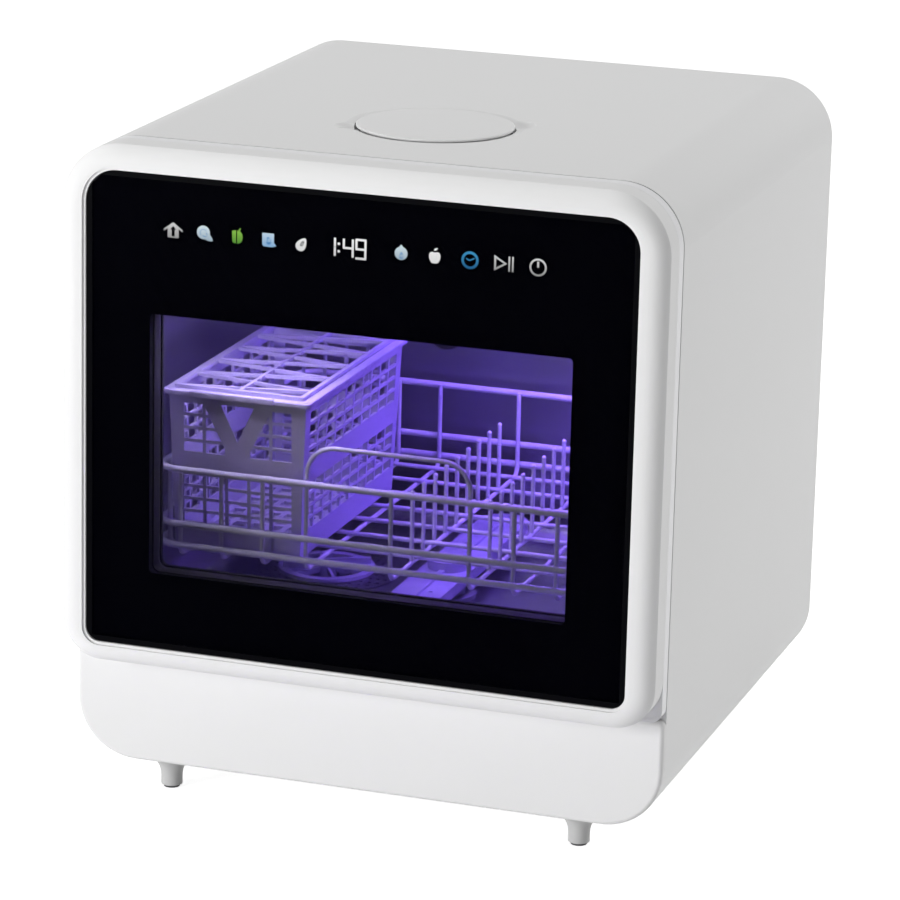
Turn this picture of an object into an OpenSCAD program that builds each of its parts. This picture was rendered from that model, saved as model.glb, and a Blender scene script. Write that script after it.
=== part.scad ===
/* [Cabinet] */
// Width of the cabinet and of the door
body_w = 420; // [410:1:460]
// Depth from the door's front to the cabinet's rear edge
body_d = 430; // [420:1:470]
// Height of the cabinet without its feet
body_h = 438; // [430:1:480]
// Outer radius of the cabinet's long edges
corner_r = 42; // [34:1:50]
// Wall of the outer shell
shell_wall = 2.6; // [2:0.1:4]
// Height of the feet
foot_h = 23; // [18:1:30]
// Distance of a foot's axis from the cabinet's side
foot_side = 62; // [56:1:80]
// Distance of a foot's axis from the cabinet's front and rear
foot_end = 45; // [38:1:60]
// How far the rear panel lies inside the shell
rear_in = 16; // [10:1:20]

/* [Plinth] */
// Height of the lower front panel
plinth_h = 77.5; // [70:0.5:80]
// How far the lower front panel lies behind the door's front
plinth_in = 32; // [32:0.5:34]
// Soft front edge of the lower front panel
plinth_edge_r = 3; // [2:0.5:4]

/* [Door] */
// Thickness of the door over its flat rear flange
door_t = 36; // [36:0.5:40]
// Gap between the door and the cabinet's front rim
door_gap = 2; // [2:0.5:4]
// Gap between the door and the lower front panel
door_seam = 1.5; // [1:0.5:3]
// Rounding of the door's front edge
door_edge_r = 14; // [8:1:15]
// How far the rounding turns before it meets the door's side, in degrees
door_edge_turn = 62; // [50:1:80]
// Radius of the door's lower corners
door_low_r = 28; // [20:1:34]
// Wall of the door's mouldings
door_wall = 2.5; // [2:0.1:3]
// Thickness of the inner door moulding's flange
flange_t = 10; // [8:0.5:11]
// How far the inner door moulding reaches into the tub
field_t = 6; // [4:0.5:7]
// Distance of the hinge axis behind the door's front
hinge_in = 24; // [22:0.5:24]
// Height of the hinge axis above the door's lower edge
hinge_up = 6; // [6:0.5:7]
// Radius of the hinge pins
hinge_pin_r = 3; // [2.5:0.1:3.5]
// Distance of the hinge knuckles from the middle
hinge_x = 160; // [130:1:165]

/* [Glass] */
// White frame beside the glass
frame_side = 19; // [17:0.5:22]
// White frame above the glass
frame_top = 17; // [15:0.5:20]
// White frame below the glass
frame_low = 14.5; // [13:0.5:18]
// Radius of the glass's upper corners
glass_top_r = 22; // [16:1:26]
// Radius of the glass's lower corners
glass_low_r = 10; // [8:1:16]
// Thickness of the front glass
glass_t = 4; // [3:0.5:5]
// How far the glass lies behind the frame's front
glass_sink = 3; // [2:0.5:4]
// Width of the clear window
window_w = 294; // [260:1:300]
// Height of the clear window in a body 438 high
window_h = 180; // [150:1:184]
// Height of the window's lower edge above the door's lower edge
window_up = 66; // [62:1:70]

/* [Tub] */
// Space between the tub's inside and the cabinet's side
side_space = 26; // [24:0.5:30]
// Height of the tub's floor above the cabinet's underside
base_h = 89; // [89:1:96]
// Space between the tub's ceiling and the cabinet's top
top_space = 77; // [77:1:90]
// Space between the tub's back wall and the cabinet's rear edge
rear_space = 65; // [62:1:72]
// Wall of the tub
tub_wall = 1.6; // [1.2:0.1:2]
// Radius of the tub's edges
tub_r = 24; // [16:1:30]
// Height of the lip that holds water behind the door
lip_h = 12; // [12:1:14]

/* [Rack] */
// Gap from the door's inner face to the rack's front wire
rack_front_gap = 18; // [18:0.5:22]
// Gap from the rack's rear wire to the tub's back wall
rack_back_gap = 14; // [10:1:20]
// Height of the rack's base ring above the tub's floor
rack_up = 60; // [58:1:62]
// Height of the rack's top ring above its base ring
rack_h = 54; // [46:1:60]
// Height of the front loop above the top ring
loop_h = 26; // [20:1:32]
// Width of the front loop
loop_w = 117; // [100:1:130]
// Radius of the ring wires
ring_wire_r = 2.3; // [2:0.1:2.6]
// Radius of the floor wires
floor_wire_r = 1.6; // [1.4:0.1:2]
// Height of the tines' tips above the base ring
tine_h = 42; // [30:1:50]
// Radius of the rack's wheels
wheel_r = 9; // [8:0.5:10]
// Width of the rack's wheels
wheel_w = 6; // [5:0.5:7]

/* [Cutlery basket] */
// Width of the cutlery basket at its rim
basket_w = 100; // [90:1:105]
// Length of the cutlery basket at its rim
basket_l = 196; // [170:1:210]
// Height of the cutlery basket
basket_h = 112; // [100:1:116]
// How far each wall leans in from rim to floor
basket_taper = 4.5; // [2:0.5:6]
// Wall of the cutlery basket
basket_wall = 2; // [1.6:0.1:2.4]

/* [Spray arms] */
// Length of the lower spray arm
arm_l = 286; // [240:1:290]
// Width of the lower spray arm
arm_w = 36; // [28:1:42]
// Thickness of the lower spray arm
arm_t = 8; // [6:0.5:9]
// Length of the upper spray arm
top_arm_l = 168; // [140:1:200]
// Radius of the pins that carry the spray arms
arm_pin_r = 5; // [4:0.1:6]

/* [Water tank] */
// Height of the water tank
tank_h = 44; // [36:1:44]
// Wall of the water tank
tank_wall = 2.2; // [1.8:0.1:3]
// Radius of the filling lid
lid_r = 54; // [46:1:58]
// How far the lid's rim stands above the cabinet's top
lid_up = 0.8; // [0.4:0.1:1.2]
// Distance of the lid's middle behind the door's front
lid_in = 155; // [150:1:200]

/* [Connections] */
// Radius of the water inlet's threaded spigot
inlet_r = 13.22; // [13:0.01:13.5]
// Length of the water inlet's spigot outside the rear panel
inlet_l = 15; // [10:0.5:15]
// Radius of the drain spigot
drain_r = 9.5; // [8:0.5:11]
// Distance of the connections from the middle
port_x = 140; // [110:1:150]

/* [Hidden] */

$fn = 64;
fit = 0.3;          // gap between parts that move past each other
seat = 0.2;         // gap between fixed parts that lie against each other
run = 0.05;         // radial clearance of a shaft in its bore
over = 1;           // how far a cutting tool reaches past a face

// Main planes: Z = 0 is the surface that the feet stand on, Y = 0 halfway between door front and rear edge
half_w = body_w / 2;
front_y = -body_d / 2;
rear_y = body_d / 2;
under_z = foot_h;
top_z = foot_h + body_h;
flange_y = front_y + door_t;                 // rear plane of the door's flange
shell_y = flange_y + door_gap;               // front rim of the shell
plinth_y = front_y + plinth_in;
plinth_top = under_z + plinth_h;
door_low = plinth_top + door_seam;
field_y = flange_y + field_t;                // inner face of the door's raised field
hinge_y = front_y + hinge_in;
hinge_z = door_low + hinge_up;

// Tub, inside faces
tub_x = half_w - side_space;
tub_low = under_z + base_h;
tub_high = top_z - top_space;
collar_y = shell_y + 1;                      // front of the collar
collar_t = 3;
tub_front = collar_y + 8;
tub_back = rear_y - rear_space;
mouth_x = tub_x - 4;
mouth_low = tub_low + lip_h;
mouth_high = tub_high - 4;
mouth_r = tub_r - 4;

// Rear panel
panel_t = 2.5;
panel_y = rear_y - rear_in - panel_t;        // inner face
panel_out = rear_y - rear_in;                // outer face

// Glass and window
glass_x = half_w - frame_side;
glass_low = door_low + frame_low;
glass_high = top_z - frame_top;
glass_y = front_y + glass_sink;
mask_t = 0.6;
mask_y = glass_y + glass_t;
window_x = window_w / 2;
window_low = door_low + window_up;
window_high = window_low + window_h + body_h - 438;  // it takes up what the body has more or less than 438

// Rack
wire_x = tub_x - 19;                         // middle of the ring wires at the sides
rack_front = field_y + rack_front_gap + ring_wire_r;
rack_back = tub_back - rack_back_gap - ring_wire_r;
ring_z = tub_low + rack_up;
top_ring_z = ring_z + rack_h;
mid_ring_z = ring_z + rack_h * 0.28;
rack_r = 16;                                 // corner radius of the rings
rail_z = ring_z - wheel_r + 3 - fit;         // running face of the rails
wheel_z = rail_z + fit + wheel_r;
wheel_x = wire_x + ring_wire_r + 3;          // inner face of a wheel
axle_r = 2.6;
wheel_ys = [rack_front + 30, rack_back - 34];

// Spray arms
arm_y = (tub_front + tub_back) / 2;
arm_z = tub_low + 13;
top_arm_z = tub_high - 18;

// Filter and sump
filter_x = 84 - tub_x;
filter_y = arm_y + 22;
filter_r = 31;
well_r = filter_r + 5;

// Tank and lid
tank_low = tub_high + tub_wall + 18;
tank_high = tank_low + tank_h;
tank_front = front_y + 76;
tank_back = panel_y - 4;
tank_x = half_w - 22;
lid_y = front_y + lid_in;
lid_gap = 1.2;
lid_top = top_z + lid_up;
boss_t = 4;
seat_z = top_z - shell_wall - boss_t;        // underside of the boss round the lid

// Feet
foot_x = half_w - foot_side;
foot_ys = [shell_y + foot_end - 30, rear_y - foot_end];
stud_r = 4;

inlet_z = under_z + 130;
drain_z = under_z + 62;

white = [0.93, 0.93, 0.92];
steel = [0.72, 0.73, 0.75];
grey = [0.55, 0.56, 0.60];
dark = [0.10, 0.10, 0.12];
lilac = [0.62, 0.58, 0.76];

// ---- shapes that several parts share ----

// Rounded rectangle with its own radius for the upper and the lower corners
module round_rect(x0, x1, z0, z1, rt, rb) {
    intersection() {
        translate([x0, z0]) square([x1 - x0, z1 - z0]);
        union() {
            translate([x0, z0 + rb]) square([x1 - x0, z1 - rt - z0 - rb]);
            translate([x0 + rt, z1 - rt]) square([x1 - x0 - 2 * rt, rt]);
            translate([x0 + rb, z0]) square([x1 - x0 - 2 * rb, rb]);
            for (x = [x0 + rt, x1 - rt]) translate([x, z1 - rt]) circle(rt);
            for (x = [x0 + rb, x1 - rb]) translate([x, z0 + rb]) circle(rb);
        }
    }
}

// Extrudes an outline drawn in X and Z from y0 back to y1
module along_y(y0, y1) {
    translate([0, y1, 0]) rotate([90, 0, 0]) linear_extrude(y1 - y0) children();
}

// Rod along Y, X or Z
module rod_y(x, z, y0, y1, r) {
    translate([x, y1, z]) rotate([90, 0, 0]) cylinder(h = y1 - y0, r = r);
}

module rod_x(y, z, x0, x1, r) {
    translate([x0, y, z]) rotate([0, 90, 0]) cylinder(h = x1 - x0, r = r);
}

module rod_z(x, y, z0, z1, r) {
    translate([x, y, z0]) cylinder(h = z1 - z0, r = r);
}

module block(x0, x1, y0, y1, z0, z1) {
    translate([x0, y0, z0]) cube([x1 - x0, y1 - y0, z1 - z0]);
}

// Carries an outline round a flat rounded rectangle: the outline's x points outward, its y up
module round_path(w, h, r) {
    for (k = [0 : 3]) {
        long = k % 2 == 0 ? w : h;
        wide = k % 2 == 0 ? h : w;
        rotate([0, 0, 90 * k]) {
            translate([long / 2, wide / 2 - r, 0]) rotate([90, 0, 0])
                linear_extrude(wide - 2 * r) children();
            translate([long / 2 - r, wide / 2 - r, 0])
                rotate_extrude(angle = 90) translate([r, 0]) children();
        }
    }
}

// The same path stood up to face the front, its outline's y pointing to the front
module upright_path(x0, x1, y, z0, z1, r) {
    translate([(x0 + x1) / 2, y, (z0 + z1) / 2]) rotate([90, 0, 0])
        round_path(x1 - x0, z1 - z0, r) children();
}

module quarter(r) {
    intersection() {
        circle(r);
        square(r);
    }
}

// Upright slab whose front edge is rounded by r
module soft_slab(x0, x1, y0, y1, z0, z1, rt, rb, r) {
    along_y(y0 + r, y1) round_rect(x0, x1, z0, z1, rt, rb);
    along_y(y0, y0 + r) round_rect(x0 + r, x1 - r, z0 + r, z1 - r, rt - r, rb - r);
    for (s = [0, 1]) translate([s == 0 ? 0 : x0 + x1, 0, 0]) mirror([s, 0, 0]) {
        translate([x1 - r, y0 + r, z1 - rt]) rotate([180, 0, 0])
            linear_extrude(z1 - z0 - rt - rb) quarter(r);
        translate([x1 - rt, y0 + r, z1 - rt]) rotate([90, 0, 0])
            rotate_extrude(angle = 90) translate([rt - r, 0]) quarter(r);
        translate([x1 - rb, y0 + r, z0 + rb]) rotate([90, 0, 0]) rotate([0, 0, -90])
            rotate_extrude(angle = 90) translate([rb - r, 0]) quarter(r);
    }
    translate([x0 + rt, y0 + r, z1 - r]) rotate([90, 0, 90])
        linear_extrude(x1 - x0 - 2 * rt) mirror([1, 0]) quarter(r);
    translate([x0 + rb, y0 + r, z0 + r]) rotate([90, 0, 90])
        linear_extrude(x1 - x0 - 2 * rb) mirror([1, 0]) mirror([0, 1]) quarter(r);
}

// The same slab with the rounded edge at the back
module soft_slab_back(x0, x1, y0, y1, z0, z1, rt, rb, r) {
    translate([0, y0 + y1, 0]) mirror([0, 1, 0]) soft_slab(x0, x1, y0, y1, z0, z1, rt, rb, r);
}

module both_sides() {
    children();
    mirror([1, 0, 0]) children();
}

// ---- cabinet ----

module shell_outline(inset) {
    round_rect(-half_w + inset, half_w - inset, under_z + inset, top_z - inset,
        corner_r - inset, corner_r - inset);
}

module outer_shell() color(white) difference() {
    union() {
        difference() {
            along_y(shell_y, rear_y) shell_outline(0);
            along_y(shell_y - over, rear_y + over) shell_outline(shell_wall);
        }
        difference() {
            along_y(panel_y - 4, panel_y - seat) shell_outline(shell_wall - 0.5);
            along_y(panel_y - 4 - over, panel_y) shell_outline(shell_wall + 9);
        }
        rod_z(0, lid_y, seat_z, top_z - shell_wall / 2, lid_r + 18);
    }
    rod_z(0, lid_y, seat_z - over, top_z + over, lid_r + lid_gap);
    translate([0, lid_y, 0]) rotate_extrude()
        polygon([[lid_r, top_z - 1.5], [lid_r + lid_gap + 10, top_z + over], [lid_r, top_z + over]]);
    for (a = [26, 206]) translate([0, lid_y, 0]) rotate([0, 0, a])
        translate([lid_r + 2, 0, top_z + 27]) sphere(30);
    for (x = [-foot_x, foot_x], y = foot_ys)
        rod_z(x, y, under_z - over, under_z + 2 * shell_wall, stud_r + fit);
    for (p = screw_places) rod_y(p[0], p[1], panel_y - 4 - over, panel_y + over, 1.6);
}

module front_collar() color(white) difference() {
    union() {
        along_y(collar_y, collar_y + collar_t) shell_outline(shell_wall + seat);
        along_y(collar_y, tub_front - seat)
            round_rect(-mouth_x - 10, mouth_x + 10, mouth_low - 10, mouth_high + 10, mouth_r + 10,
                mouth_r + 10);
    }
    along_y(collar_y - over, tub_front + over)
        round_rect(-mouth_x, mouth_x, mouth_low, mouth_high, mouth_r, mouth_r);
    upright_path(-mouth_x - 5, mouth_x + 5, collar_y, mouth_low - 5, mouth_high + 5, mouth_r + 5)
        translate([-2.6, -2]) square([5.2, 2 + over]);
    for (p = peg_places) rod_y(p[0], p[1], collar_y - over, collar_y + collar_t + over, 3 + seat);
    block(-12, 12, collar_y - over, collar_y + collar_t + over, latch_z - 6, latch_z + 8);
}

peg_places = [[-150, under_z + 58], [-60, under_z + 20], [60, under_z + 20], [150, under_z + 58]];
latch_z = mouth_high + 34;

module plinth_panel() color(white) {
    difference() {
        soft_slab(-half_w, half_w, plinth_y, shell_y - seat, under_z, plinth_top, plinth_edge_r + 1,
            corner_r, plinth_edge_r);
        along_y(plinth_y + 2.5, shell_y)
            round_rect(-half_w + 2.5, half_w - 2.5, under_z + 2.5, plinth_top - 2.5, 2, corner_r - 2.5);
    }
    for (p = peg_places) {
        rod_y(p[0], p[1], plinth_y + 2, collar_y + collar_t, 3);
        rod_y(p[0], p[1], plinth_y + 2, collar_y - seat, 5);
    }
}

screw_places = [
    for (x = [-half_w + 8, half_w - 8], z = [under_z + 90, (under_z + top_z) / 2, top_z - 90]) [x, z],
    [-90, top_z - 8], [90, top_z - 8], [-90, under_z + 8], [90, under_z + 8]];

module slot_row(x0, count, pitch, z, h) {
    for (i = [0 : count - 1]) translate([x0 + i * pitch, z]) {
        square([3.2, h], center = true);
        for (s = [-1, 1]) translate([0, s * h / 2]) circle(1.6);
    }
}

module rear_panel() color(white) difference() {
    union() {
        along_y(panel_y, panel_out) shell_outline(shell_wall + seat);
        along_y(panel_y - 3, panel_y + over) difference() {
            round_rect(-port_x - 34, -port_x + 34, drain_z - 24, inlet_z + 30, 8, 8);
            round_rect(-port_x - 31, -port_x + 31, drain_z - 21, inlet_z + 27, 6, 6);
        }
    }
    rod_y(-port_x, inlet_z, panel_y - over, panel_out + over, inlet_r + 1);
    rod_y(-port_x, drain_z, panel_y - over, panel_out + over, drain_r + 3 + fit);
    rod_y(port_x, drain_z, panel_y - over, panel_out + over, 8 + seat);
    along_y(panel_y - over, panel_out + over) {
        slot_row(-98, 9, 10, top_z - 150, 52);
        slot_row(30, 9, 10, top_z - 150, 52);
        slot_row(-40, 9, 10, under_z + 62, 34);
    }
    for (p = screw_places) rod_y(p[0], p[1], panel_y - over, panel_out + over, 2.2);
}

module rear_screws() color(steel) for (p = screw_places) {
    rod_y(p[0], p[1], panel_out, panel_out + 2, 3.4);
    rod_y(p[0], p[1], panel_y - 6, panel_out + 1, 1.5);
}

module base_tray() color(grey) {
    difference() {
        block(-foot_x - 14, foot_x + 14, shell_y + 6, panel_y - 6, under_z + shell_wall + seat, under_z + 22);
        block(-foot_x - 12, foot_x + 12, shell_y + 8, panel_y - 8, under_z + shell_wall + 2,
            under_z + 22 + over);
        for (x = [-foot_x, foot_x], y = foot_ys) rod_z(x, y, under_z, under_z + 10, stud_r + seat);
    }
    for (x = [-foot_x, foot_x], y = foot_ys) difference() {
        rod_z(x, y, under_z + shell_wall + seat, under_z + 18, 9);
        rod_z(x, y, under_z, under_z + 17, stud_r + seat);
    }
    for (x = [-120 : 20 : 120])
        block(x - 1, x + 1, shell_y + 7, panel_y - 7, under_z + shell_wall + 1, rib_z);
}

rib_z = under_z + 8;                         // upper edge of the tray's ribs

// Trumpet-shaped foot: straight stem, then a flare of one arc up to the cabinet
module foot() {
    flare = 18.3;
    rotate_extrude() difference() {
        union() {
            translate([0, 2]) square([7.5, foot_h - 2 - seat]);
            translate([0, 8]) square([14, foot_h - 8 - seat]);
        }
        translate([7.5 + flare, 8]) circle(flare);
        translate([0, 1]) square([5.8, 2.2]);
    }
    rod_z(0, 0, foot_h - 1, under_z + 15, stud_r);
}

module feet() color(white) for (x = [-foot_x, foot_x], y = foot_ys) translate([x, y, 0]) foot();

module foot_pads() color(dark) for (x = [-foot_x, foot_x], y = foot_ys) rod_z(x, y, 0, 3.1, 5.6);

// ---- tub and what is fixed in it ----

module tub() color(steel) difference() {
    soft_slab_back(-tub_x - tub_wall, tub_x + tub_wall, tub_front, tub_back + tub_wall,
        tub_low - tub_wall, tub_high + tub_wall, tub_r + tub_wall, tub_r + tub_wall, 14 + tub_wall);
    soft_slab_back(-tub_x, tub_x, tub_front + tub_wall, tub_back, tub_low, tub_high, tub_r, tub_r, 14);
    along_y(tub_front - over, tub_front + tub_wall + over)
        round_rect(-mouth_x, mouth_x, mouth_low, mouth_high, mouth_r, mouth_r);
    rod_z(filter_x, filter_y, tub_low - 2 * tub_wall, tub_low + over, well_r - 1);
    rod_z(0, arm_y, tub_low - 2 * tub_wall, tub_low + over, 12);
    rod_z(0, arm_y, tub_high - over, tub_high + 2 * tub_wall, 7.5);
    rod_y(fan_x, fan_z, tub_back - over, tub_back + 2 * tub_wall, 14);
}

module tub_gasket() color(dark)
    upright_path(-mouth_x - 5, mouth_x + 5, collar_y, mouth_low - 5, mouth_high + 5, mouth_r + 5) {
        translate([-2.4, -1.8]) square([4.8, door_gap + 0.8]);
        translate([0, door_gap - 1.5]) circle(2.4);
    }

module rack_rail(side) color(grey) mirror([side, 0, 0]) {
    x0 = wheel_x - 0.5;
    difference() {
        union() {
            block(x0, tub_x - seat, rail_front, rail_back, rail_z - 2.4, rail_z);
            block(tub_x - 2, tub_x - seat, rail_front, rail_back, rail_z - 8, wheel_z + wheel_r + 3);
            block(wheel_x + wheel_w - 3, tub_x - seat, rail_front, rail_back,
                wheel_z + wheel_r + fit, wheel_z + wheel_r + 2.4);
            block(x0, tub_x - seat, rail_back - 3, rail_back, rail_z - 1, wheel_z + wheel_r + 1);
            for (i = [0 : 6])
                translate([x0 + 6, rail_front + 12 + i * (rail_back - rail_front - 24) / 6, rail_z - 8])
                cube([tub_x - seat - x0 - 6, 2, 7]);
        }
        for (y = [rail_front + 40, rail_back - 40]) rod_x(y, wheel_z, tub_x - 3, tub_x + over, 2.2);
    }
}

rail_front = tub_front + tub_wall + 4;
rail_back = tub_back - 14;

module sump() color(grey) difference() {
    union() {
        rod_z(filter_x, filter_y, under_z + 40, tub_low - tub_wall - seat, well_r + 3);
        block(filter_x, 0, filter_y - 22, filter_y + 6, under_z + 52, tub_low - tub_wall - seat - 2);
        rod_z(0, arm_y, under_z + 52, tub_low - tub_wall - seat, 20);
        rod_y(filter_x, under_z + 50, filter_y + 20, filter_y + 62, 9);
        rod_x(filter_y + 4, under_z + 62, -24, 30, 10);
        rod_y(hose_x, tub_low - 10, filter_y + 20, filter_y + well_r + 3, 7.5);
    }
    rod_z(filter_x, filter_y, under_z + 44, tub_low + over, well_r);
    rod_z(0, arm_y, under_z + 60, tub_low + over, 10);
}

module filter_plate() color(steel) difference() {
    rod_z(filter_x, filter_y, tub_low + seat, tub_low + 1.2, 54);
    rod_z(filter_x, filter_y, tub_low - over, tub_low + 3, filter_r + 1);
    for (ring = [[38, 24], [43.5, 28], [49, 32]], i = [0 : ring[1] - 1])
        rotate_about(filter_x, filter_y, 360 * i / ring[1])
            rod_z(ring[0], 0, tub_low - over, tub_low + 3, 1.5);
}

module rotate_about(x, y, a) {
    translate([x, y, 0]) rotate([0, 0, a]) children();
}

module filter_cup() color(lilac) translate([filter_x, filter_y, 0]) {
    difference() {
        union() {
            rod_z(0, 0, under_z + 48, tub_low + 3, filter_r);
            rod_z(0, 0, tub_low + 1.2 + fit, tub_low + 4, filter_r + 4);
        }
        rod_z(0, 0, under_z + 50, tub_low + 5, filter_r - 2);
        for (i = [0 : 11], z = [under_z + 56, under_z + 70]) rotate([0, 0, 30 * i + 10])
            block(filter_r - 4, filter_r + 3, -4, 4, z, z + 10);
    }
    rod_z(0, 0, under_z + 48, tub_low + 6, 7);
    for (a = [0 : 60 : 300]) rotate([0, 0, a]) block(5, filter_r - 1, -1, 1, tub_low, tub_low + 4);
    rotate([0, 0, 30]) block(-filter_r - 1, filter_r + 1, -1.5, 1.5, tub_low + 3, tub_low + 9);
}

module spray_hub() color(grey) translate([0, arm_y, 0]) {
    rod_z(0, 0, tub_low + seat, tub_low + 3, 20);
    rod_z(0, 0, tub_low - 12, tub_low + 6, 9.8);
    rod_z(0, 0, tub_low + 2, arm_z - fit, 12);
    rod_z(0, 0, tub_low + 2, arm_z + arm_t + 4, arm_pin_r);
}

// Flat blade with round ends, its nozzles drilled from above
module blade(l, w, t) {
    difference() {
        union() {
            translate([-l / 2 + w / 2, -w / 2, 0]) cube([l - w, w, t]);
            for (s = [-1, 1]) translate([s * (l / 2 - w / 2), 0, 0]) cylinder(h = t, r = w / 2);
        }
        for (s = [-1, 1], i = [1 : 4]) translate([s * i * (l / 2 - 10) / 4.4, s * w / 5, t - 2])
            cylinder(h = 2 + over, r = 1.6);
        for (s = [-1, 1]) translate([s * (l / 2 - w / 2), -s * w / 2 - over, t / 2 - 1])
            cube([6, 4 + over, 2]);
    }
}

module lower_spray_arm() color(lilac) translate([0, arm_y, 0]) difference() {
    union() {
        rotate([0, 0, 90]) translate([0, 0, arm_z]) blade(arm_l, arm_w, arm_t);
        rod_z(0, 0, arm_z, arm_z + arm_t + 7, 15);
        rotate([0, 0, 90])
            block(-arm_l / 2 + 30, arm_l / 2 - 30, -2, 2, arm_z + arm_t - 1, arm_z + arm_t + 2);
    }
    rod_z(0, 0, arm_z - over, arm_z + arm_t + 4.5, arm_pin_r + run);
}

module upper_spray_arm() color(lilac) translate([0, arm_y, 0]) difference() {
    union() {
        translate([0, 0, top_arm_z]) mirror([0, 0, 1]) blade(top_arm_l, 24, 6);
        rod_z(0, 0, top_arm_z - 10, top_arm_z, 11);
    }
    rod_z(0, 0, top_arm_z - 8, top_arm_z + over, arm_pin_r - 1 + run);
}

// One quarter of a bent pipe about the origin, from +X to +Y, in its own plane
module bend(bend_r, pipe_r) {
    rotate_extrude(angle = 90) translate([bend_r, 0]) circle(pipe_r);
}

module riser_pipe() color(grey) {
    r = 6.5;
    b = 14;
    pipe_z = tub_high + tub_wall + 9;
    back_y = tub_back + tub_wall + 12;
    low_z = under_z + 62;
    translate([0, arm_y, 0]) {
        rod_z(0, 0, top_arm_z - 7.5, top_arm_z + 6, arm_pin_r - 1);
        rod_z(0, 0, top_arm_z + fit, tub_high - seat, 10);
        rod_z(0, 0, tub_high - 1, pipe_z, r);
        rod_z(0, 0, pipe_z - r, pipe_z + r, r);
    }
    rod_y(0, pipe_z, arm_y, back_y - b, r);
    translate([0, back_y - b, pipe_z - b]) rotate([90, 0, 90]) bend(b, r);
    rod_z(0, back_y, low_z, pipe_z - b, r);
    rod_z(0, back_y, low_z - r, low_z + r, r + 2);
}

module wash_pump() color(dark) {
    x = 62;
    y = filter_y + 4;
    z = under_z + 56;
    difference() {
        union() {
            rod_x(y, z, x - 30, x - 8, 31);
            rod_x(y, z, x - 8, x + 50, 26);
            rod_x(y, z, x + 50, x + 58, 12);
            for (i = [0 : 7]) rotate_fin(y, z, 45 * i) block(x, x + 44, 24, 28.5, -1.2, 1.2);
        }
        rod_x(y, z + 6, x - 31, x - 26, 10 + seat);
    }
    block(x - 26, x + 44, y - 22, y + 22, rib_z + seat, under_z + 32);
}

module rotate_fin(y, z, a) {
    translate([0, y, z]) rotate([a, 0, 0]) children();
}

module drain_pump() color(dark) {
    y0 = filter_y + 62 + seat;
    rod_y(filter_x, under_z + 50, y0, y0 + 16, 20);
    rod_y(filter_x, under_z + 50, y0 + 16, y0 + 44, 15);
    block(filter_x - 22, filter_x + 22, y0 + 4, y0 + 40, rib_z + seat, rib_z + 4);
    block(filter_x - 12, filter_x + 12, y0 + 4, y0 + 40, rib_z + 2, under_z + 38);
    rod_z(filter_x + hose_side, y0 + 8, drain_z - 24, drain_z - hose_bend, 6);
    block(filter_x + 10, filter_x + hose_side, y0 + 3, y0 + 13, drain_z - 23, drain_z - 15);
}

module heater() color(steel) {
    y = filter_y + 66;
    z = under_z + 54;
    rod_x(y, z, 20, 120, 13);
    for (x = [16, 114]) rod_x(y, z, x, x + 10, 15);
    for (x = [40, 100]) block(x - 3, x + 3, y - 12, y + 12, rib_z + seat, z - 8);
    rod_x(y - 7, z, 124, 134, 2.5);
    rod_x(y + 7, z, 124, 134, 2.5);
}

hose_side = 26;                              // the drain hose runs this far beside the filter
hose_bend = 12;

// Drain hose: up from the drain pump, back, across and out to the spigot
module pump_hoses() color(grey) {
    y0 = filter_y + 62 + seat + 8;
    x = filter_x + hose_side;
    b = hose_bend;
    r = 6;
    turn_y = drain_y - b;
    translate([x, y0 + b, drain_z - b]) rotate([90, 0, -90]) bend(b, r);
    rod_y(x, drain_z, y0 + b, turn_y - b, r);
    translate([x - b, turn_y - b, drain_z]) bend(b, r);
    rod_x(turn_y, drain_z, -port_x + b, x - b, r);
    translate([-port_x + b, drain_y, drain_z]) rotate([0, 0, 180]) bend(b, r);
}

// Hoses behind the tub: from the tank down and forward to the sump, from the valve up to the tank
module tank_hose() color(grey) {
    r = hose_r;
    b = 14;
    low_z = tub_low - 10;
    rod_y(hose_x, low_z, filter_y + well_r + 3 + seat, hose_y - b, r);
    translate([hose_x, hose_y - b, low_z + b]) rotate([90, 0, 90]) rotate([0, 0, -90]) bend(b, r);
    rod_z(hose_x, hose_y, low_z + b, tank_low - seat, r);
    rod_z(-port_x, valve_y, inlet_z + 15 + seat, tank_low - seat, r);
}

// Ring clamps at the hose ends
module hose_clamps() color(steel) {
    for (p = [[hose_x, hose_y, tank_low - 14], [-port_x, valve_y, tank_low - 14],
        [-port_x, valve_y, inlet_z + 18]])
        translate([p[0], p[1], p[2]]) clamp_ring();
    translate([hose_x, filter_y + well_r + 6, tub_low - 10]) rotate([-90, 0, 0]) clamp_ring();
    translate([-port_x + hose_bend + 14, drain_y - hose_bend, drain_z]) rotate([0, 90, 0]) clamp_ring();
}

// Band round a hose with its screw housing
module clamp_ring() difference() {
    union() {
        cylinder(h = 8, r = 7.2);
        translate([-4, 6, 1]) cube([8, 4, 6]);
    }
    translate([0, 0, -over]) cylinder(h = 8 + 2 * over, r = 6 + run);
}

hose_x = filter_x - 12;
hose_r = 6;
hose_y = tub_back + tub_wall + 16;
valve_y = panel_y - 14;
drain_y = panel_y - 20;                      // inner end of the drain spigot

module inlet_valve() color(white) {
    z = inlet_z;
    y1 = panel_y - seat;
    difference() {
        union() {
            rod_y(-port_x, z, y1 - 4, panel_out + inlet_l, inlet_r);
            rod_y(-port_x, z, panel_out + seat, panel_out + 3, inlet_r + 4);
        }
        rod_y(-port_x, z, panel_out - 4, panel_out + inlet_l + over, inlet_r - 4);
    }
    block(-port_x - 17, -port_x + 17, y1 - 26, y1, z - 15, z + 15);
    rod_z(-port_x, valve_y, z - 36, z - 14, 12);
}

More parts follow.
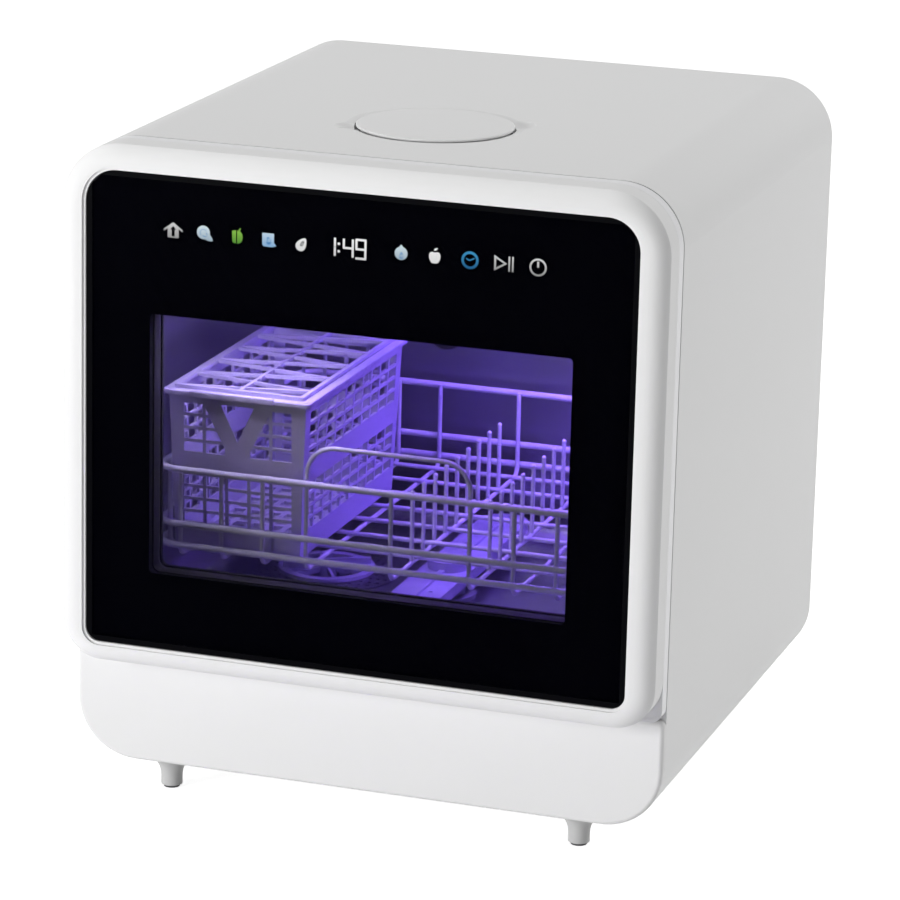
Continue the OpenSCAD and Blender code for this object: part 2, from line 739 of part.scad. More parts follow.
module drain_spigot() color(grey) {
    z = drain_z;
    difference() {
        union() {
            rod_y(-port_x, z, drain_y + seat, rear_y - 1, drain_r);
            rod_y(-port_x, z, panel_y - 5, panel_y - seat, drain_r + 8);
            rod_y(-port_x, z, panel_out + seat, panel_out + 2.5, drain_r + 5);
        }
        rod_y(-port_x, z, panel_y - 10, rear_y, drain_r - 2);
    }
}

module power_gland() color(dark) difference() {
    union() {
        rod_y(port_x, drain_z, panel_y - 10, panel_out + 5, 8);
        rod_y(port_x, drain_z, panel_out + seat, panel_out + 6, 11);
        rod_y(port_x, drain_z, panel_y - 6, panel_y - seat, 11);
        rod_y(port_x, drain_z, panel_out + 5, panel_out + 11, 6.5);
    }
    rod_y(port_x, drain_z, panel_y - 10 - over, rear_y, 3.6);
}

module control_board() color([0.12, 0.35, 0.2]) {
    y1 = panel_y - 8;
    x0 = 50;
    z0 = under_z + 110;
    block(x0, x0 + 110, y1 - 1.6, y1, z0, z0 + 140);
    for (x = [x0 + 6, x0 + 104], z = [z0 + 6, z0 + 134]) rod_y(x, z, y1 - 1, panel_y, 3);
    block(x0 + 12, x0 + 46, y1 - 26, y1 - 1, z0 + 14, z0 + 44);
    for (i = [0 : 3]) block(x0 + 58 + i % 2 * 22, x0 + 76 + i % 2 * 22, y1 - 17, y1 - 1,
        z0 + 14 + floor(i / 2) * 24, z0 + 34 + floor(i / 2) * 24);
    for (x = [x0 + 22, x0 + 44]) rod_y(x, z0 + 66, y1 - 24, y1 - 1, 9);
    block(x0 + 14, x0 + 50, y1 - 5, y1 - 1, z0 + 90, z0 + 116);
    for (i = [0 : 3]) block(x0 + 62, x0 + 98, y1 - 10, y1 - 1, z0 + 72 + i * 15, z0 + 82 + i * 15);
}

fan_r = 34;
fan_x = hose_x + hose_r + 12 + fan_r;        // the fan's scroll stays 12 clear of the tank's hose
fan_z = tub_low + 150;

module drying_fan() color(dark) {
    y0 = tub_back + tub_wall + seat;
    rod_y(fan_x, fan_z, y0, y0 + 8, 20);
    rod_y(fan_x, fan_z, y0 + 7, y0 + 30, fan_r);
    block(fan_x, fan_x + fan_r, y0 + 7, y0 + 30, fan_z, fan_z + fan_r + 12);
    rod_y(fan_x, fan_z, y0 + 30, y0 + 34, 14);
    for (a = [45 : 90 : 315]) translate([fan_x, 0, fan_z]) rotate([0, a, 0])
        rod_y(fan_r + 2, 0, y0 + 8, y0 + 13, 4);
}

lamp_y = tub_front + 22;

module lamp_bar() color(white) difference() {
    block(-110, 110, lamp_y - 8, lamp_y + 8, tub_high - 9, tub_high - seat);
    block(-106, 106, lamp_y - 5, lamp_y + 5, tub_high - 9 - over, tub_high - 4);
}

module lamp_lens() color([0.5, 0.35, 1.0]) {
    block(-105.8, 105.8, lamp_y - 4.8, lamp_y + 4.8, tub_high - 9, tub_high - 6);
    rod_x(lamp_y, tub_high - 8.4, -105.8, 105.8, 3);
}

// ---- hinges and latch ----

lug_w = 14;
lug_r = 5.5;

module hinge_lugs() color(white) both_sides() difference() {
    union() {
        rod_x(hinge_y, hinge_z, hinge_x - lug_w / 2, hinge_x + lug_w / 2, lug_r);
        block(hinge_x - lug_w / 2, hinge_x + lug_w / 2, hinge_y, collar_y - seat, hinge_z - lug_r,
            hinge_z + lug_r);
        block(hinge_x - lug_w / 2 - 6, hinge_x + lug_w / 2 + 6, collar_y - 1.2, collar_y - seat,
            hinge_z - lug_r, hinge_z + 5);
    }
    rod_x(hinge_y, hinge_z, hinge_x - lug_w, hinge_x + lug_w, hinge_pin_r + run);
}

module hinge_pins() color(steel) both_sides() {
    rod_x(hinge_y, hinge_z, hinge_x - lug_w / 2 - 4, hinge_x + lug_w / 2 + 4, hinge_pin_r);
    rod_x(hinge_y, hinge_z, hinge_x - lug_w / 2 - 5.2, hinge_x - lug_w / 2 - 3.8, hinge_pin_r + 1);
}

// Two plates that carry the pin and a foot that lies against the inner moulding
module hinge_brackets() color(steel) both_sides() difference() {
    plate_y = flange_y - door_wall - seat;
    plate_low = hinge_z + lug_r + 1 + seat;
    plate_high = mouth_low + 2 - seat;
    union() {
        for (s = [-1, 1]) {
            x = hinge_x + s * (lug_w / 2 + 2);
            rod_x(hinge_y, hinge_z, x - 1, x + 1, hinge_pin_r + 2.4);
            block(x - 1, x + 1, hinge_y - hinge_pin_r - 2.4, hinge_y + hinge_pin_r + 2.4, hinge_z,
                plate_high);
            block(x - 1, x + 1, hinge_y, plate_y, plate_low, plate_high);
        }
        block(hinge_x - lug_w / 2 - 12, hinge_x + lug_w / 2 + 12, plate_y - 1.2, plate_y, plate_low,
            plate_high);
    }
    rod_x(hinge_y, hinge_z, hinge_x - lug_w, hinge_x + lug_w, hinge_pin_r + run);
}

module latch_catch() color(grey) difference() {
    block(-18, 18, collar_y + collar_t + seat, collar_y + 26, latch_z - 12, latch_z + 14);
    block(-10, 10, collar_y, collar_y + 22, latch_z - 6, latch_z + 8);
}

module latch_hook() color(steel) {
    block(-7, 7, flange_y + seat, collar_y + 16, latch_z - 1.5, latch_z + 1.5);
    block(-7, 7, collar_y + 11, collar_y + 16, latch_z - 1.5, latch_z + 5);
    block(-14, 14, flange_y + seat, flange_y + 1.4, latch_z - 5, latch_z + 5);
}

// ---- water tank ----

module water_tank() color([0.85, 0.9, 0.95]) difference() {
    union() {
        soft_slab(-tank_x, tank_x, tank_front, tank_back, tank_low, tank_high, 26, 10, 6);
        both_sides() block(116, 132, tank_front + 24, tub_back - 16, tub_high + tub_wall + seat,
            tank_low + 1);
    }
    soft_slab(-tank_x + tank_wall, tank_x - tank_wall, tank_front + tank_wall, tank_back - tank_wall,
        tank_low + tank_wall, tank_high - tank_wall, 26 - tank_wall, 10 - tank_wall, 6 - tank_wall);
    rod_z(0, lid_y, tank_high - 2 * tank_wall, tank_high + over, neck_r + seat);
    rod_z(hose_x, hose_y, tank_low - over, tank_low + 2 * tank_wall, 5);
    rod_z(-port_x, valve_y, tank_low - over, tank_low + 2 * tank_wall, 5);
}

neck_r = lid_r - 8;

module fill_funnel() color(white) difference() {
    union() {
        rod_z(0, lid_y, seat_z - 3, seat_z - seat, lid_r + 12);
        rod_z(0, lid_y, tank_high + seat, seat_z - seat, lid_r + 3);
        rod_z(0, lid_y, tank_high - 8, tank_high + 2, neck_r);
    }
    rod_z(0, lid_y, tank_high + 2, seat_z + over, lid_r);
    rod_z(0, lid_y, tank_high - 8 - over, tank_high + 3, neck_r - 2);
}

// Slightly domed lid with a soft rim and a skirt that plugs the filling neck
module tank_lid() color(white) translate([0, lid_y, 0]) difference() {
    union() {
        rotate_extrude() polygon([[0, lid_top - 5], [lid_r - 4, lid_top - 5], [lid_r - 2.5, lid_top - 1.5],
            [lid_r, lid_top - 1.5], [lid_r, lid_top - 0.7], [lid_r - 0.25, lid_top - 0.25],
            [lid_r - 0.8, lid_top],
            [lid_r * 0.8, lid_top + 0.15], [lid_r * 0.55, lid_top + 0.28], [0, lid_top + 0.35]]);
        rod_z(0, 0, tank_high + 2 + fit, lid_top - 4, lid_r - 3);
    }
    rod_z(0, 0, tank_high, lid_top - 3.4, lid_r - 6);
    rotate_extrude() translate([lid_r - 4.5, tank_high + 4.8]) square([2.5, 2.8]);
}

module lid_seal() color(dark) translate([0, lid_y, 0])
    rotate_extrude() translate([lid_r - 3.2, tank_high + 6.2]) circle(1.2);

// ---- door ----

module door_outline(inset) {
    round_rect(-half_w + inset, half_w - inset, door_low + inset, top_z - inset,
        corner_r - inset, door_low_r - inset);
}

module glass_outline(grow) {
    round_rect(-glass_x - grow, glass_x + grow, glass_low - grow, glass_high + grow,
        glass_top_r + grow, glass_low_r + grow);
}

module door_frame() color(white) difference() {
    frame_y = flange_y - flange_t - seat;
    ledge = 8;
    spare = door_edge_r * (1 - sin(door_edge_turn));
    difference() {
        intersection() {
            soft_slab(-half_w - spare, half_w + spare, front_y, frame_y, door_low - spare, top_z + spare,
                corner_r + spare, door_low_r + spare, door_edge_r);
            along_y(front_y - over, frame_y + over) door_outline(0);
        }
        along_y(mask_y + mask_t + 3.2, frame_y + over) door_outline(door_wall);
    }
    along_y(front_y - over, front_y + 1.6) glass_outline(2.2);
    along_y(front_y, mask_y + mask_t + seat) glass_outline(seat);
    along_y(mask_y, frame_y) glass_outline(-ledge);
    both_sides() hinge_pocket();
}

// Room for the hinge knuckle: it swings from the rear to the underside of the door
module hinge_pocket() {
    block(hinge_x - lug_w / 2 - 5.6, hinge_x + lug_w / 2 + 5.6, hinge_y - lug_r - 1,
        flange_y + field_t + over,
        door_low - over, hinge_z + lug_r + 1);
}

module front_glass() color([0.05, 0.05, 0.08, 0.4]) along_y(glass_y, glass_y + glass_t) glass_outline(0);

module glass_mask() color(dark) along_y(mask_y, mask_y + mask_t) difference() {
    glass_outline(-0.5);
    round_rect(-window_x, window_x, window_low, window_high, 3, 3);
}

module display_module() color(dark) {
    y0 = mask_y + mask_t + seat;
    z = glass_high - 37;
    block(-140, 140, y0, y0 + 3, z - 14, z + 14);
    block(-134, 134, y0 + 5, y0 + 6.6, z - 13, z + 13);
    for (x = [-120 : 60 : 120]) rod_y(x, z, y0 + 1, y0 + 6, 3);
    block(-60, -20, y0 + 6, y0 + 9, z - 8, z + 8);
    block(90, 110, y0 + 6, y0 + 11, z - 7, z + 7);
}

module window_spacer() color(dark) {
    y0 = mask_y + mask_t + seat;
    y1 = flange_y - flange_t;
    difference() {
        along_y(y0, y1) round_rect(-window_x - 8, window_x + 8, window_low - 8, window_high + 8, 8, 8);
        along_y(y0 - over, y1 + over)
            round_rect(-window_x - 5.5, window_x + 5.5, window_low - 5.5, window_high + 5.5, 6, 6);
    }
}

// Inner door moulding: flange with small lower corners, raised field that plugs the tub's mouth
module door_liner() color(white) difference() {
    union() {
        along_y(flange_y - flange_t, flange_y) round_rect(-half_w, half_w, door_low, top_z, corner_r, 8);
        soft_slab_back(-mouth_x + 3, mouth_x - 3, flange_y - over, field_y, mouth_low + 4, mouth_high - 4,
            mouth_r - 3, mouth_r - 3, 4);
    }
    along_y(flange_y - flange_t - over, field_y - door_wall) {
        round_rect(-mouth_x + 6, mouth_x - 6, mouth_low + 7, mouth_high - 7, mouth_r - 6, mouth_r - 6);
    }
    along_y(flange_y - flange_t - over, flange_y - door_wall) difference() {
        round_rect(-half_w + door_wall, half_w - door_wall, door_low + door_wall, top_z - door_wall,
            corner_r - door_wall, 6);
        round_rect(-mouth_x + 1, mouth_x - 1, mouth_low + 2, mouth_high - 2, mouth_r - 1, mouth_r - 1);
    }
    along_y(flange_y - flange_t - over, field_y + over) {
        round_rect(-window_x - 5.5, window_x + 5.5, window_low - 5.5, window_high + 5.5, 6, 6);
        round_rect(-cup_x, cup_x, cup_low, cup_high, 4, 4);
    }
    both_sides() hinge_pocket();
}

cup_x = 52;
cup_low = mouth_low + 12;
cup_high = window_low - 16;

module inner_window() color([0.8, 0.85, 0.95, 0.35]) {
    y0 = field_y - door_wall - seat;
    along_y(y0 - 3, y0) round_rect(-window_x - 9, window_x + 9, window_low - 9, window_high + 9, 8, 8);
}

plate_t = 1.5;                               // plate round the detergent cup's mouth
slide_y = field_y + plate_t + fit;           // outer face that the detergent lid slides on

// Cup with two cells, its mouth plate and the rails that hold the sliding lid
module detergent_cup() color(lilac) {
    difference() {
        union() {
            along_y(flange_y - 8, field_y + 1)
                round_rect(-cup_x + seat, cup_x - seat, cup_low + seat, cup_high - seat, 4, 4);
            along_y(field_y + 0.1, field_y + plate_t)
                round_rect(-cup_x - 3, cup_x + 3, cup_low - 3, cup_high + 3, 4, 4);
        }
        block(-cup_x + 4, -4, flange_y - 6, field_y + 3, cup_low + 4, cup_high - 4);
        block(0, cup_x - 4, flange_y + 1, field_y + 3, cup_low + 4, cup_high - 4);
    }
    for (s = [0, 1]) translate([0, 0, s * (cup_low + cup_high)]) mirror([0, 0, s]) {
        block(-cup_x, cup_x, field_y + 1, slide_y + 2.9, cup_low - 1.5, cup_low + 1 - fit);
        block(-cup_x, cup_x, slide_y + 1.9, slide_y + 2.9, cup_low - 1.5, cup_low + 2.2);
    }
}

module detergent_lid() color(white) {
    block(-cup_x + 1, 0, slide_y, slide_y + 1.6, cup_low + 1, cup_high - 1);
    block(-8, -5, slide_y + 1, slide_y + 3.4, cup_low + 4, cup_high - 4);
}

// ---- rack ----

// Bent wire: base at z from a0 to a1, legs up to top0 and top1, bend radius b
module wire_u(a0, a1, z, top0, top1, b, r) {
    rod_x(0, z, a0 + b, a1 - b, r);
    rod_z(a0, 0, z + b, top0, r);
    rod_z(a1, 0, z + b, top1, r);
    translate([a1 - b, 0, z + b]) rotate([90, 0, 0]) rotate([0, 0, -90]) bend(b, r);
    translate([a0 + b, 0, z + b]) rotate([90, 0, 0]) rotate([0, 0, 180]) bend(b, r);
}

module wire_ring(z, r) {
    translate([0, (rack_front + rack_back) / 2, z])
        round_path(2 * wire_x, rack_back - rack_front, rack_r) circle(r);
}

basket_x0 = -wire_x + ring_wire_r + 2 * floor_wire_r + 1;
basket_y0 = rack_front + ring_wire_r + 2 * floor_wire_r + 1;
basket_z = ring_z - 3.2;                     // stands on the cross wires
loop_left = basket_x0 + basket_w + floor_wire_r + 0.9;
loop_right = loop_left + loop_w;
basket_xs = [for (f = [0.17, 0.47, 0.77]) -wire_x + f * basket_w];
right_xs = [for (f = [0.3, 0.59, 0.85]) loop_right + f * (wire_x - loop_right)];
tine_xs = [loop_left + 0.52 * loop_w, loop_right];
long_xs = concat(basket_xs, [loop_left], tine_xs, right_xs);
cross_n = 7;
cross_pitch = (rack_back - rack_front - 36) / cross_n;
low_bend = 8;                                // the long wires run this far under the base ring
tine_n = 8;
tine_pitch = cross_pitch * 2 / 3;            // never meets a cross wire
tine_y = rack_front + 18 + cross_pitch * 5 / 6;
weld = ring_wire_r + floor_wire_r - 0.5;     // distance of two welded wires
loop_bend = 20;

module dish_rack() color([0.85, 0.85, 0.9]) {
    cross_bend = low_bend - 2 * floor_wire_r + 0.4;
    low_z = ring_z - low_bend;
    wire_top = top_ring_z + 1;
    loop_z = top_ring_z + loop_h;
    for (z = [ring_z, mid_ring_z, top_ring_z]) wire_ring(z, ring_wire_r);
    for (x = long_xs) translate([x, 0, 0]) rotate([0, 0, 90])
        wire_u(rack_front + weld, rack_back - weld, low_z,
            x == loop_left || x == loop_right ? loop_z - loop_bend : wire_top, wire_top, low_bend,
            floor_wire_r);
    for (i = [0 : cross_n]) translate([0, rack_front + 18 + i * cross_pitch, 0])
        wire_u(-wire_x + weld, wire_x - weld, ring_z - cross_bend, wire_top, wire_top, cross_bend,
            floor_wire_r);
    translate([0, rack_front + weld, 0]) front_loop(loop_z);
}

// Two rows of straight tines, welded on top of the long wires, that keep the plates upright
module plate_tines() color([0.85, 0.85, 0.9]) for (x = tine_xs, i = [0 : tine_n])
    rod_z(x, tine_y + i * tine_pitch, ring_z - low_bend + floor_wire_r + seat, ring_z + tine_h,
        floor_wire_r - 0.1);

// Top of the raised loop in the middle of the front, with a wide bend at each corner
module front_loop(z) {
    rod_x(0, z, loop_left + loop_bend, loop_right - loop_bend, floor_wire_r);
    translate([loop_right - loop_bend, 0, z - loop_bend]) rotate([90, 0, 0]) bend(loop_bend, floor_wire_r);
    translate([loop_left + loop_bend, 0, z - loop_bend]) rotate([90, 0, 0]) rotate([0, 0, 90])
        bend(loop_bend, floor_wire_r);
}

module wheel_clips() color(grey) for (y = wheel_ys) both_sides() difference() {
    union() {
        block(wire_x + ring_wire_r + seat, wheel_x - fit, y - 9, y + 9, ring_z - 5, mid_ring_z + 5);
        rod_x(y, wheel_z, wire_x + ring_wire_r + 1, wheel_x + wheel_w + 1.4, axle_r);
        rod_x(y, wheel_z, wheel_x + wheel_w + fit, wheel_x + wheel_w + 1.4, axle_r + 1.4);
        for (z = [ring_z, mid_ring_z])
            block(wire_x - ring_wire_r - 2, wire_x + ring_wire_r + 1, y - 5, y + 5,
                z - ring_wire_r - 2, z + ring_wire_r + 2);
    }
    for (z = [ring_z, mid_ring_z]) rod_y(wire_x, z, y - 12, y + 12, ring_wire_r + 0.1);
}

module wheel(side, y) color(white) mirror([side, 0, 0]) difference() {
    union() {
        rod_x(y, wheel_z, wheel_x, wheel_x + wheel_w, wheel_r);
    }
    rod_x(y, wheel_z, wheel_x - over, wheel_x + wheel_w + over, axle_r + run);
    for (a = [0 : 60 : 300]) translate([0, y, wheel_z]) rotate([a, 0, 0])
        rod_x(5.8, 0, wheel_x - over, wheel_x + wheel_w + over, 1.3);
}

// ---- cutlery basket ----

// One wall, drawn flat: its lower edge is shorter by the taper at both ends
module wall_sheet(l, cols, mark) {
    band = 8;
    mid0 = basket_h * 0.47;
    mid1 = basket_h * 0.60;
    low = basket_h * 0.15;
    pitch = (l - 2 * basket_taper - 10) / cols;
    low_rows = 4;
    high_rows = 4;
    low_step = (mid0 - low) / low_rows;
    high_step = (basket_h - band - mid1) / high_rows;
    difference() {
        polygon([[basket_taper, 0], [l - basket_taper, 0], [l, basket_h], [0, basket_h]]);
        difference() {
            for (c = [0 : cols - 1]) {
                x = basket_taper + 5 + c * pitch;
                for (i = [0 : low_rows - 1]) translate([x + 1.2, low + i * low_step + 1])
                    square([pitch - 2.4, low_step - 2]);
                for (i = [0 : high_rows - 1]) translate([x + 1.2, mid1 + i * high_step + 1])
                    square([pitch - 2.4, high_step - 2]);
            }
            if (mark) vee(l / 2, basket_h - 4, 27, basket_h * 0.48);
        }
        if (mark) vee(l / 2, basket_h - band, 12, 26);
    }
}

// Triangle that points down
module vee(x, z, half, h) {
    polygon([[x - half, z], [x + half, z], [x, z - h]]);
}

module cutlery_basket() color(lilac) {
    lean = atan(basket_taper / basket_h);
    x1 = basket_x0 + basket_w;
    y1 = basket_y0 + basket_l;
    translate([basket_x0, basket_y0 + basket_taper, basket_z]) rotate([90 + lean, 0, 0])
        translate([0, 0, -basket_wall]) linear_extrude(basket_wall) wall_sheet(basket_w, 5, true);
    translate([x1, y1 - basket_taper, basket_z]) rotate([0, 0, 180]) rotate([90 + lean, 0, 0])
        translate([0, 0, -basket_wall]) linear_extrude(basket_wall) wall_sheet(basket_w, 5, false);
    translate([x1 - basket_taper, basket_y0, basket_z]) rotate([0, 0, 90]) rotate([90 + lean, 0, 0])
        translate([0, 0, -basket_wall]) linear_extrude(basket_wall) wall_sheet(basket_l, 10, false);
    translate([basket_x0 + basket_taper, y1, basket_z]) rotate([0, 0, -90]) rotate([90 + lean, 0, 0])
        translate([0, 0, -basket_wall]) linear_extrude(basket_wall) wall_sheet(basket_l, 10, false);
    translate([basket_x0 + basket_taper + 1, basket_y0 + basket_taper + 1, basket_z])
        linear_extrude(basket_wall)
        difference() {
            square([basket_w - 2 * basket_taper - 2, basket_l - 2 * basket_taper - 2]);
            for (i = [0 : 5], j = [0 : 11]) translate([6 + i * 13.2, 6 + j * 14.8]) square([9, 10]);
        }
    translate([basket_x0 + basket_w / 2, basket_y0 + basket_l / 2, basket_z + basket_h])
        round_path(basket_w, basket_l, 5) translate([-2.6, -2.6]) square([4.4, 2.6]);
}

// Top insert: rim and zigzag bars that part the cutlery
module cutlery_grid() color(lilac) {
    w = basket_w - 6;
    l = basket_l - 6;
    n = 5;
    step = l / n;
    translate([basket_x0 + 3, basket_y0 + 3, basket_z + basket_h + seat]) linear_extrude(2.4) {
        difference() {
            square([w, l]);
            translate([3, 3]) square([w - 6, l - 6]);
        }
        for (i = [0 : n - 1]) {
            bar(0, i * step + 1, w, (i + 0.5) * step);
            bar(w, (i + 0.5) * step, 0, (i + 1) * step - 1);
            bar(w / 2, i * step, w / 2, (i + 1) * step);
        }
    }
}

// Straight bar, 2.4 wide, from one point to the other
module bar(x0, y0, x1, y1) {
    a = atan2(y1 - y0, x1 - x0);
    translate([x0, y0]) rotate(a) translate([1.2, -1.2]) square([norm([x1 - x0, y1 - y0]) - 2.4, 2.4]);
}

outer_shell();
front_collar();
plinth_panel();
rear_panel();
base_tray();
feet();
foot_pads();
tub();
tub_gasket();
rack_rail(1);  // rack_rail_left
rack_rail(0);  // rack_rail_right
sump();
filter_plate();
filter_cup();
spray_hub();
riser_pipe();
lower_spray_arm();
upper_spray_arm();
wash_pump();
drain_pump();
heater();
pump_hoses();
tank_hose();
hose_clamps();
inlet_valve();
drain_spigot();
power_gland();
control_board();
drying_fan();
lamp_bar();
lamp_lens();
hinge_lugs();
latch_catch();
rear_screws();
water_tank();
fill_funnel();
tank_lid();
lid_seal();
door_frame();
front_glass();
glass_mask();
display_module();
window_spacer();
door_liner();
inner_window();
detergent_cup();
detergent_lid();
hinge_brackets();
hinge_pins();
latch_hook();
dish_rack();
plate_tines();
wheel_clips();
wheel(1, wheel_ys[0]);  // wheel_front_left
wheel(0, wheel_ys[0]);  // wheel_front_right
wheel(1, wheel_ys[1]);  // wheel_rear_left
wheel(0, wheel_ys[1]);  // wheel_rear_right
cutlery_basket();
cutlery_grid();
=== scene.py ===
import bpy, math
from mathutils import Matrix, Vector


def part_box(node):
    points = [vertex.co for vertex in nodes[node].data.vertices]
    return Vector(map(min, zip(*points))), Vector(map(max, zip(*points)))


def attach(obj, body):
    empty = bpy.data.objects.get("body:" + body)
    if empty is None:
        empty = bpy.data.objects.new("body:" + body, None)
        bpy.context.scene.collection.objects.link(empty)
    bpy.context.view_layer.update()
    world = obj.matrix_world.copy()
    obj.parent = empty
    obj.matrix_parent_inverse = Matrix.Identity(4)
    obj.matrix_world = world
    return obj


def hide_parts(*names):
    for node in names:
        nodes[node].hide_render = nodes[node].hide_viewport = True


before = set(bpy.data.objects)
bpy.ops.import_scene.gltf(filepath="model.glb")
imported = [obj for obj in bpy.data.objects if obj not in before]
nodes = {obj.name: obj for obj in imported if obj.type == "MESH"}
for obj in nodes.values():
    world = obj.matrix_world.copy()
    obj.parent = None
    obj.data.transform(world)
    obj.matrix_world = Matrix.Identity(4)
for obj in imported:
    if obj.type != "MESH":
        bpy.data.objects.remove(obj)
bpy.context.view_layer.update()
scene = bpy.context.scene
scene.view_settings.view_transform = "Standard"
mm = 0.001

# The photograph's camera: place in metres, angles in degrees, lens and film in millimetres
view = {"place": (0.91807, -2.7666, 1.03433), "azimuth": 18.557, "elevation": 15.587, "roll": 1.350,
        "lens": 171.6, "film": 36, "shift": (0.0096, -0.0070), "clip": (0.1, 60)}


def makeCamera():
    az, el, roll = (math.radians(view[key]) for key in ("azimuth", "elevation", "roll"))
    back = Vector((math.sin(az) * math.cos(el), -math.cos(az) * math.cos(el), math.sin(el)))
    right = Vector((math.cos(az), math.sin(az), 0))
    up = back.cross(right)
    data = bpy.data.cameras.new("camera")
    data.lens, data.sensor_width = view["lens"], view["film"]
    data.shift_x, data.shift_y = view["shift"]
    data.clip_start, data.clip_end = view["clip"]
    camera = bpy.data.objects.new("camera", data)
    scene.collection.objects.link(camera)
    turned = Matrix((math.cos(roll) * right + math.sin(roll) * up,
                     math.cos(roll) * up - math.sin(roll) * right, back)).transposed().to_4x4()
    camera.matrix_world = Matrix.Translation(view["place"]) @ turned
    scene.camera = camera


class Wire:  # one output of a node, so that values can be added and multiplied as numbers are
    def __init__(self, socket):
        self.socket = socket

    def __add__(self, other): return maths("ADD", self, other)
    def __radd__(self, other): return maths("ADD", other, self)
    def __sub__(self, other): return maths("SUBTRACT", self, other)
    def __rsub__(self, other): return maths("SUBTRACT", other, self)
    def __mul__(self, other): return maths("MULTIPLY", self, other)
    def __rmul__(self, other): return maths("MULTIPLY", other, self)
    def __truediv__(self, other): return maths("DIVIDE", self, other)
    def __rtruediv__(self, other): return maths("DIVIDE", other, self)
    def __gt__(self, other): return maths("GREATER_THAN", self, other)
    def __lt__(self, other): return maths("LESS_THAN", self, other)


# Links a wire to a socket, or sets the socket's own value
def plug(socket, value):
    if isinstance(value, Wire):
        socket.id_data.links.new(value.socket, socket)
    else:
        socket.default_value = value


class Net:  # a tree of nodes
    def __init__(self, tree):
        self.tree = tree

    # The settings are set first; the sockets go by name or by number
    def add(self, kind, settings=None, sockets=None, out=0):
        node = self.tree.nodes.new("ShaderNode" + kind)
        for key, value in (settings or {}).items():
            setattr(node, key, value)
        for key, value in (sockets or {}).items():
            plug(node.inputs[key], value)
        return Wire(node.outputs[out])


def maths(operation, *values):
    tree = next(value for value in values if isinstance(value, Wire)).socket.id_data
    return Net(tree).add("Math", {"operation": operation}, dict(enumerate(values)))


class Finish(Net):  # a material under way
    def __init__(self, name, **fixed):
        self.material = bpy.data.materials.new(name)
        self.material.use_nodes = True
        super().__init__(self.material.node_tree)
        self.shader = self.tree.nodes["Principled BSDF"]
        self.feed(**fixed)
        self.place = self.add("TexCoord", out="Object")

    def noise(self, scale, detail, place=None):
        return self.add("TexNoise", None, {"Vector": place or self.place, "Scale": scale, "Detail": detail})

    def blend(self, factor, one, two):
        return self.add("Mix", {"data_type": "RGBA"}, {0: factor, 6: one, 7: two}, out=2)

    def bump(self, height, strength, depth):
        return self.add("Bump", None, {"Height": height, "Strength": strength, "Distance": depth})

    def along(self, axis):
        return self.add("SeparateXYZ", None, {"Vector": self.place}, out=axis)

    def feed(self, **sockets):
        for key, value in sockets.items():
            plug(self.shader.inputs[key.replace("_", " ")], value)
        return self.material


def shade(colour, k=1.0):
    return (*(min(1, c * k) for c in colour[:3]), 1)


# Linear colour of a 0..255 screen colour
def tone(r, g, b):
    return (*(((c / 255 + 0.055) / 1.055) ** 2.4 if c > 10 else c / 255 / 12.92 for c in (r, g, b)), 1)


paper = {"size": 40, "place": (0, 10, -0.5 * mm), "rough": 0.9, "tones": (236, 238), "cloud": 3, "lift": 0.80}

# The world's strength, and the point that the lamps outside are aimed at. Each lamp has its name, place, size
# and power; a lamp inside the tub has also the way its back faces, before its size, and a tint
light = {"world": 0.25, "middle": (0, 0, 0.23),
         "lamps": [("keyLamp", (-2.0, -2.7, 0.65), 1.6, 82.0), ("topLamp", (-0.2, 0.3, 2.6), 1.6, 19.0),
                   ("sideLamp", (2.4, 1.4, 1.0), 1.6, 23.5)],
         "violet": (0.27, 0.145, 1.0), "pale": (0.78, 0.74, 1.0),
         "inside": [("leftGlow", (-0.05, 0.08, 0.355), (0, 0, 1), 0.12, 0.45, "violet"),
                    ("rightGlow", (0.09, 0.04, 0.355), (-0.1, 0, 1), 0.12, 2.2, "violet"),
                    ("paleGlow", (-0.09, -0.155, 0.358), (0, -0.45, 0.9), 0.08, 0.55, "pale")]}
plainWhite = (1, 1, 1, 1)


# 1 for a ray from the camera, off a gloss or through glass, and 0 for the rays that light the object
def seenRays(net):
    seen = net.add("LightPath", out="Is Camera Ray")
    path = seen.socket.node
    for key in ("Is Glossy Ray", "Is Transmission Ray"):
        seen = maths("MAXIMUM", seen, Wire(path.outputs[key]))
    return seen


def makeFloor():
    bpy.ops.object.select_all(action="DESELECT")
    bpy.ops.mesh.primitive_plane_add(size=paper["size"], location=paper["place"])
    floor = bpy.context.object
    floor.name = "floor"
    sheet = Finish("floorPaper", Roughness=paper["rough"])
    dark, pale = (tone(c, c, c) for c in paper["tones"])
    sheet.feed(Base_Color=sheet.blend(sheet.noise(paper["cloud"], 2), dark, pale))
    glow = sheet.add("Emission", None, {"Color": plainWhite, "Strength": seenRays(sheet) * paper["lift"]})
    both = sheet.add("AddShader", None, {0: Wire(sheet.shader.outputs[0]), 1: glow})
    plug(sheet.tree.nodes["Material Output"].inputs[0], both)
    floor.data.materials.append(sheet.material)


def makeLight():
    world = bpy.data.worlds.new("studio")
    scene.world = world
    world.use_nodes = True
    sky = Net(world.node_tree)
    soft = sky.tree.nodes["Background"]
    plug(soft.inputs["Color"], plainWhite)
    plug(soft.inputs["Strength"], light["world"])
    white = sky.add("Background", None, {"Color": plainWhite, "Strength": 1.0})
    mixed = sky.add("MixShader", None, {0: seenRays(sky), 1: Wire(soft.outputs[0]), 2: white})
    plug(sky.tree.nodes["World Output"].inputs[0], mixed)
    for name, place, size, power in light["lamps"]:
        aimLamp(name, place, Vector(place) - Vector(light["middle"]), size, power)
    for name, place, back, size, power, tint in light["inside"]:
        aimLamp(name, place, Vector(back), size, power).color = light[tint]


